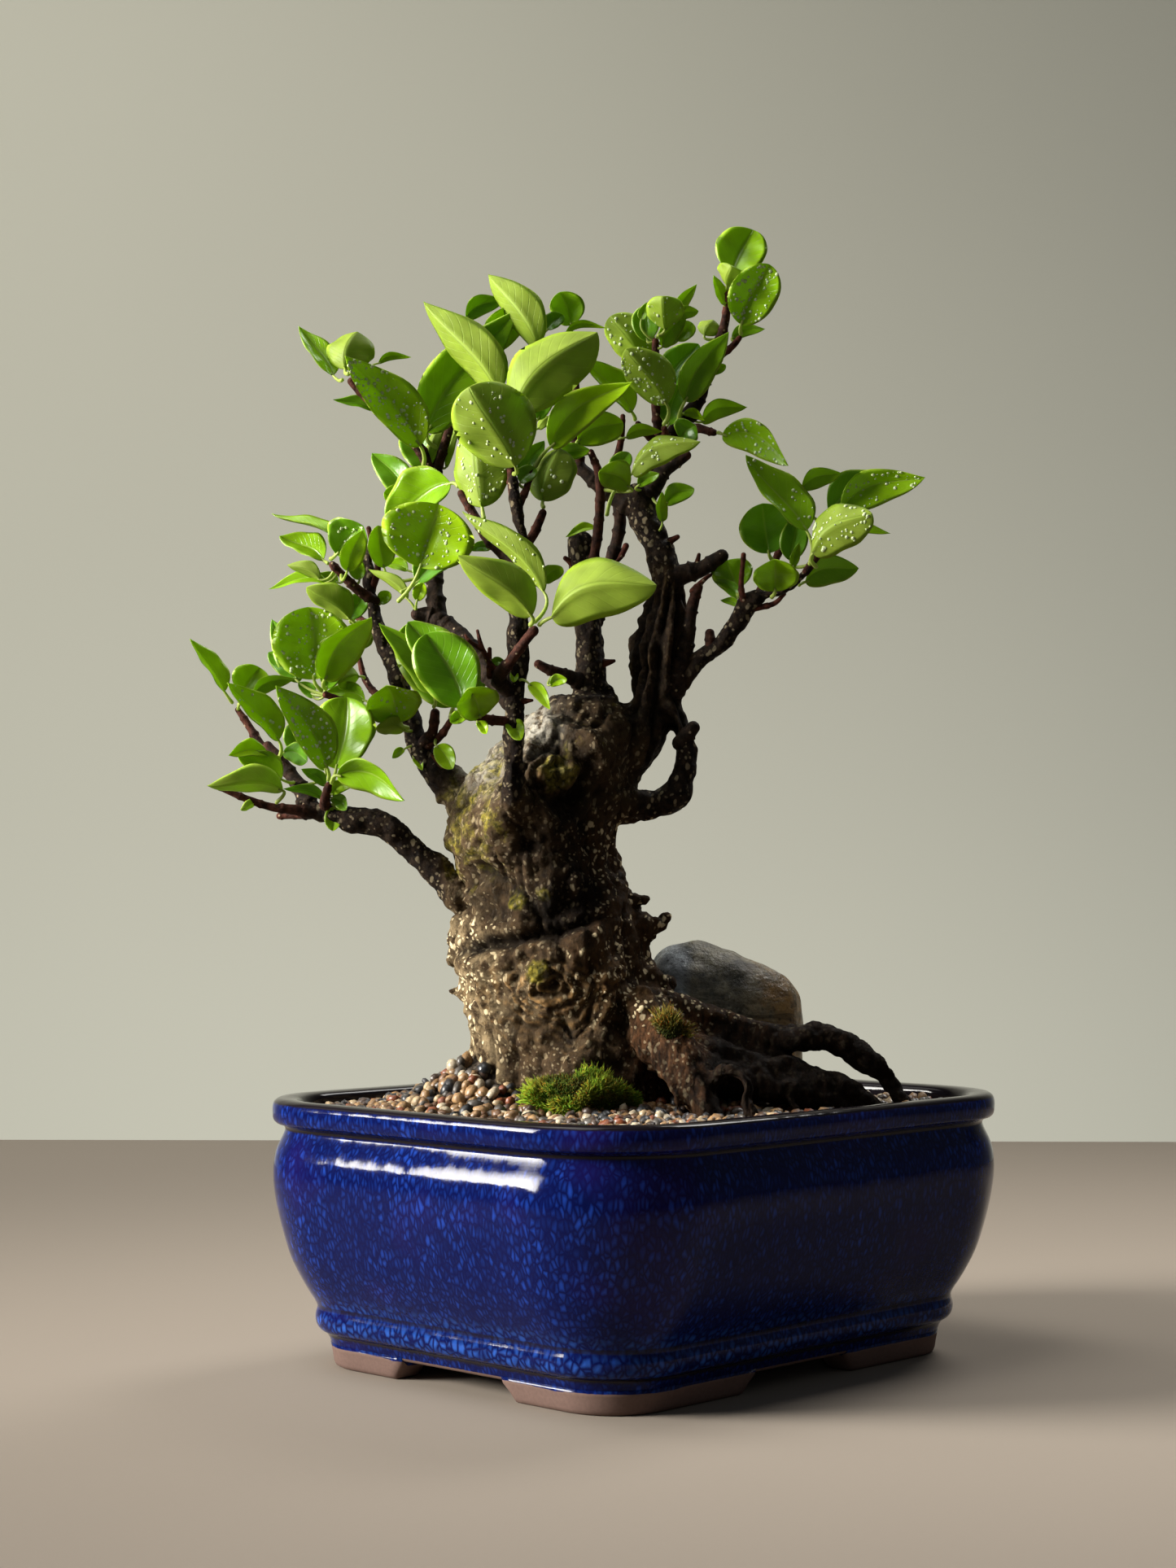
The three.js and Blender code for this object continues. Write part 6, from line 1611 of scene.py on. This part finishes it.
def make_leaves():
    """Every leaf of a branch in one skin; a small leaf's stalk starts on the nearest wood."""
    random = np.random.default_rng(3)
    finish = leaf_finish()
    for branch, rows in LEAVES.items():
        skin = Skin("tone", "along", "across", "upper", "stalk")
        for stalk, foot, tip, width, roll, cup, bow, tone, _ in rows:
            stalk, foot, tip = on_plant([stalk, foot, tip])
            add_leaf(skin, stalk, foot, tip, width, roll, cup, bow, tone, random.random())
        for foot, tip, width, roll, tone in SMALL_LEAVES[branch]:
            foot, tip = on_plant([foot, tip])
            stalk = nearest_wood(foot)
            add_leaf(skin, stalk, foot, tip, width, roll, 0.3, 1, tone, random.random())
        nodes = [f"leaf_{branch}_{i + 1}" for i in range(len(rows))]
        skin.piece(f"leaves_{branch}", finish, "leaf", *nodes)


def make_droplets():
    """Flattened beads of water on the wet leaves, on whichever face is turned up or to the front."""
    random = np.random.default_rng(17)
    phases = np.random.default_rng(3)
    shape, faces = ball(3, 7)
    shape = shape * [1, 1, DROP_FLATNESS]
    skin = Skin()
    lift = 0.8 * sizes().leaf_thickness / MM / 2
    for branch, rows in LEAVES.items():
        for _, foot, tip, width, roll, cup, bow, _, wet in rows:
            phase = phases.random()
            if not wet:
                continue
            foot, tip = on_plant([foot, tip])
            count = int(wet * width * np.linalg.norm(tip - foot) * DROPS_PER_AREA)
            s, t = random.uniform(0.06, 0.94, count), random.uniform(-0.88, 0.88, count)
            blade = (foot, tip, width, roll, cup, bow, phase)
            at, face = blade_surface(*blade, s, t)
            along, aside = (blade_surface(*blade, s + ds, t + dt)[0] - at
                            for ds, dt in ((DROP_STEP, 0), (0, DROP_STEP)))
            normal = unit(np.cross(along, aside))
            front = np.sign(face @ TOWARDS_EYE)
            normal *= (np.sign(normal @ face) * front)[:, None]
            half = sizes().droplet / MM / 2 * random.uniform(0.3, 1, count) ** 1.5
            first = unit(along)
            axes = np.stack([first, np.cross(normal, first), normal], axis=1) * half[:, None, None]
            points, indices = scattered(shape, faces, at + normal * lift, axes)
            skin.add(points, indices)
        for _ in SMALL_LEAVES[branch]:
            phases.random()
    skin.piece("water_droplets", water_finish(), "leaf")


# ---- Stage ----

LENS, SENSOR = 59.78, 36.0
EYE = (-627.65, -580.45, 151.93)      # from the pot's middle at floor level
EYE_RIGHT = (0.69304, -0.72090, 0.0)
EYE_UP = (-0.02908, -0.02795, 0.99919)
FLOOR_BACK, FLOOR_HALF = 725, 5000    # the floor's far edge, from the pot's middle along the view
WALL_BEHIND = 1700                    # far enough back for a camera to stand in front of it
WALL_HALF, WALL_LOW, WALL_TOP = 4000, -900, 2600


def stage_finish(name, shade, roughness):
    f = Finish(name, Roughness=roughness, Specular_IOR_Level=0.1)
    tint = f.mix(f.noise(0.6, 2), scaled(shade, 0.96), scaled(shade, 1.03))
    return f.use(Base_Color=tint, Normal=f.bump(f.noise(0.004, 2), 0.0003, 0.15))


def stage_sheet(name, half, near, far, finish):
    """One flat sheet of the stage, between a near and a far edge given as (back, up)."""
    corners = [(-half, *near), (half, *near), (half, *far), (-half, *far)]
    points = turned(np.array(corners, float), PLANT_TURN) + POT_MIDDLE
    mesh = bpy.data.meshes.new(name)
    mesh.from_pydata((points * MM).tolist(), [], [(0, 1, 2, 3)])
    mesh.materials.append(finish)
    placed(name, mesh)


def make_stage():
    """A floor that ends behind the pot, and a wall well beyond its edge."""
    c = colours()
    stage_sheet("floor", FLOOR_HALF, (-FLOOR_HALF, 0), (FLOOR_BACK, 0),
                stage_finish("floor", c.floor, 0.8))
    stage_sheet("wall", WALL_HALF, (WALL_BEHIND, WALL_LOW), (WALL_BEHIND, WALL_TOP),
                stage_finish("wall", c.wall, 0.9))


# Soft panels on the drawing's axes: place, target, width, height, watts, colour, fan in degrees.
LIGHTS = {
    "window": ((-1150, -260, 560), (0, -60, 270), 560, 560, 6, (1.0, 0.97, 0.91), 45),
    "wall_from_above": (
        (-900, 500, 1500), (-250, 1700, 100), 1900, 800, 15, (1.0, 0.98, 0.90), 130),
    "wall_from_below": (
        (-100, 1000, -450), (-100, 1700, 300), 2200, 400, 8, (1.0, 1.0, 0.96), 150),
    "sky": ((-500, -150, 1350), (-60, 60, 120), 900, 500, 3.0, (1.0, 0.99, 0.95), 120),
    "back_fill": ((700, 900, 1500), (0, 0, 150), 700, 700, 2.0, (1.0, 0.98, 0.95), 60),
}


def make_lights():
    """The soft panels, each turned to face its target, and a dim blue room."""
    for name, (place, target, width, height, power, shade, fan) in LIGHTS.items():
        data = bpy.data.lights.new(name, "AREA")
        data.shape, data.size, data.size_y = "RECTANGLE", width * MM, height * MM
        data.energy, data.color, data.spread = power, shade, math.radians(fan)
        light = placed(name, data)
        at, aim = (turned(np.array(p, float), PLANT_TURN) + POT_MIDDLE for p in (place, target))
        light.location = Vector(at * MM)
        light.rotation_euler = Vector((aim - at) * MM).to_track_quat("-Z", "Y").to_euler()
    world = bpy.data.worlds.new("room")
    world.use_nodes = True
    background = world.node_tree.nodes["Background"]
    background.inputs["Color"].default_value = (0.85, 0.92, 1.0, 1)
    background.inputs["Strength"].default_value = 0.10
    scene = bpy.context.scene
    scene.world = world
    scene.view_settings.view_transform = "Standard"
    scene.view_settings.look = "None"


def make_camera():
    """A camera at the eye, with its axes given by the drawing's right and up."""
    data = bpy.data.cameras.new("front_view")
    data.lens, data.sensor_width, data.sensor_fit = LENS, SENSOR, "AUTO"
    data.clip_start, data.clip_end = 0.01, 20
    camera = placed("front_view", data)
    right, up = unit(np.array(EYE_RIGHT)), unit(np.array(EYE_UP))
    back = np.cross(right, up)
    camera.matrix_world = Matrix.Translation(Vector((POT_MIDDLE + EYE) * MM)) @ Matrix(
        np.column_stack([right, up, back]).tolist()).to_4x4()
    bpy.context.scene.camera = camera


# ---- Operators, panel and main ----


class BONSAI_OT_stage(bpy.types.Operator):
    """Adds the studio that the bonsai is seen in"""

    bl_idname = "bonsai.stage"
    bl_label = "Studio, lights and camera"
    bl_options = {"REGISTER", "UNDO"}

    def execute(self, context):
        make_camera()
        make_stage()
        make_lights()
        return {"FINISHED"}


class BONSAI_OT_pot(bpy.types.Operator):
    """Adds the pot's body and its four feet"""

    bl_idname = "bonsai.pot"
    bl_label = "Glazed pot"
    bl_options = {"REGISTER", "UNDO"}

    def execute(self, context):
        make_pot()
        return {"FINISHED"}


class BONSAI_OT_soil(bpy.types.Operator):
    """Gives the hidden soil and screens their finish"""

    bl_idname = "bonsai.soil"
    bl_label = "Soil and drain screens"
    bl_options = {"REGISTER", "UNDO"}

    def execute(self, context):
        make_soil()
        return {"FINISHED"}


class BONSAI_OT_gravel(bpy.types.Operator):
    """Adds the grit bed and its pebbles"""

    bl_idname = "bonsai.gravel"
    bl_label = "Gravel"
    bl_options = {"REGISTER", "UNDO"}

    def execute(self, context):
        make_gravel()
        return {"FINISHED"}


class BONSAI_OT_stone(bpy.types.Operator):
    """Adds the stone that leans on the roots"""

    bl_idname = "bonsai.stone"
    bl_label = "River stone"
    bl_options = {"REGISTER", "UNDO"}

    def execute(self, context):
        make_stone()
        return {"FINISHED"}


class BONSAI_OT_moss(bpy.types.Operator):
    """Adds the two cushions of moss"""

    bl_idname = "bonsai.moss"
    bl_label = "Moss"
    bl_options = {"REGISTER", "UNDO"}

    def execute(self, context):
        make_moss()
        return {"FINISHED"}


class BONSAI_OT_trunk(bpy.types.Operator):
    """Adds the trunk with its bark"""

    bl_idname = "bonsai.trunk"
    bl_label = "Trunk and roots"
    bl_options = {"REGISTER", "UNDO"}

    def execute(self, context):
        make_trunk()
        return {"FINISHED"}


class BONSAI_OT_branches(bpy.types.Operator):
    """Adds the fine branches and twigs"""

    bl_idname = "bonsai.branches"
    bl_label = "Branches"
    bl_options = {"REGISTER", "UNDO"}

    def execute(self, context):
        make_branches()
        return {"FINISHED"}


class BONSAI_OT_leaves(bpy.types.Operator):
    """Adds every leaf with its stalk"""

    bl_idname = "bonsai.leaves"
    bl_label = "Leaves"
    bl_options = {"REGISTER", "UNDO"}

    def execute(self, context):
        make_leaves()
        return {"FINISHED"}


class BONSAI_OT_droplets(bpy.types.Operator):
    """Adds the water on the leaves"""

    bl_idname = "bonsai.droplets"
    bl_label = "Water droplets"
    bl_options = {"REGISTER", "UNDO"}

    def execute(self, context):
        make_droplets()
        return {"FINISHED"}


OPERATORS = (
    BONSAI_OT_stage, BONSAI_OT_pot, BONSAI_OT_soil, BONSAI_OT_gravel, BONSAI_OT_stone,
    BONSAI_OT_moss, BONSAI_OT_trunk, BONSAI_OT_branches, BONSAI_OT_leaves, BONSAI_OT_droplets,
)


class BONSAI_PT_parts(bpy.types.Panel):
    """Lists the bonsai's sizes, colours and parts."""

    bl_label = "Bonsai"
    bl_space_type = "VIEW_3D"
    bl_region_type = "UI"
    bl_category = "Bonsai"

    def draw(self, context):
        for group in (context.scene.bonsai_sizes, context.scene.bonsai_colours):
            box = self.layout.box()
            for name in group.__annotations__:
                box.prop(group, name)
        for kind in OPERATORS:
            self.layout.operator(kind.bl_idname)


CLASSES = (BonsaiSizes, BonsaiColours, *OPERATORS, BONSAI_PT_parts)


def register():
    for kind in CLASSES:
        bpy.utils.register_class(kind)
    bpy.types.Scene.bonsai_sizes = bpy.props.PointerProperty(type=BonsaiSizes)
    bpy.types.Scene.bonsai_colours = bpy.props.PointerProperty(type=BonsaiColours)


def unregister():
    del bpy.types.Scene.bonsai_colours
    del bpy.types.Scene.bonsai_sizes
    for kind in reversed(CLASSES):
        bpy.utils.unregister_class(kind)


def main():
    register()
    bpy.ops.bonsai.stage()
    bpy.ops.bonsai.pot()
    bpy.ops.bonsai.soil()
    bpy.ops.bonsai.gravel()
    bpy.ops.bonsai.stone()
    bpy.ops.bonsai.moss()
    bpy.ops.bonsai.trunk()
    bpy.ops.bonsai.branches()
    bpy.ops.bonsai.leaves()
    bpy.ops.bonsai.droplets()


if __name__ == "__main__":
    main()
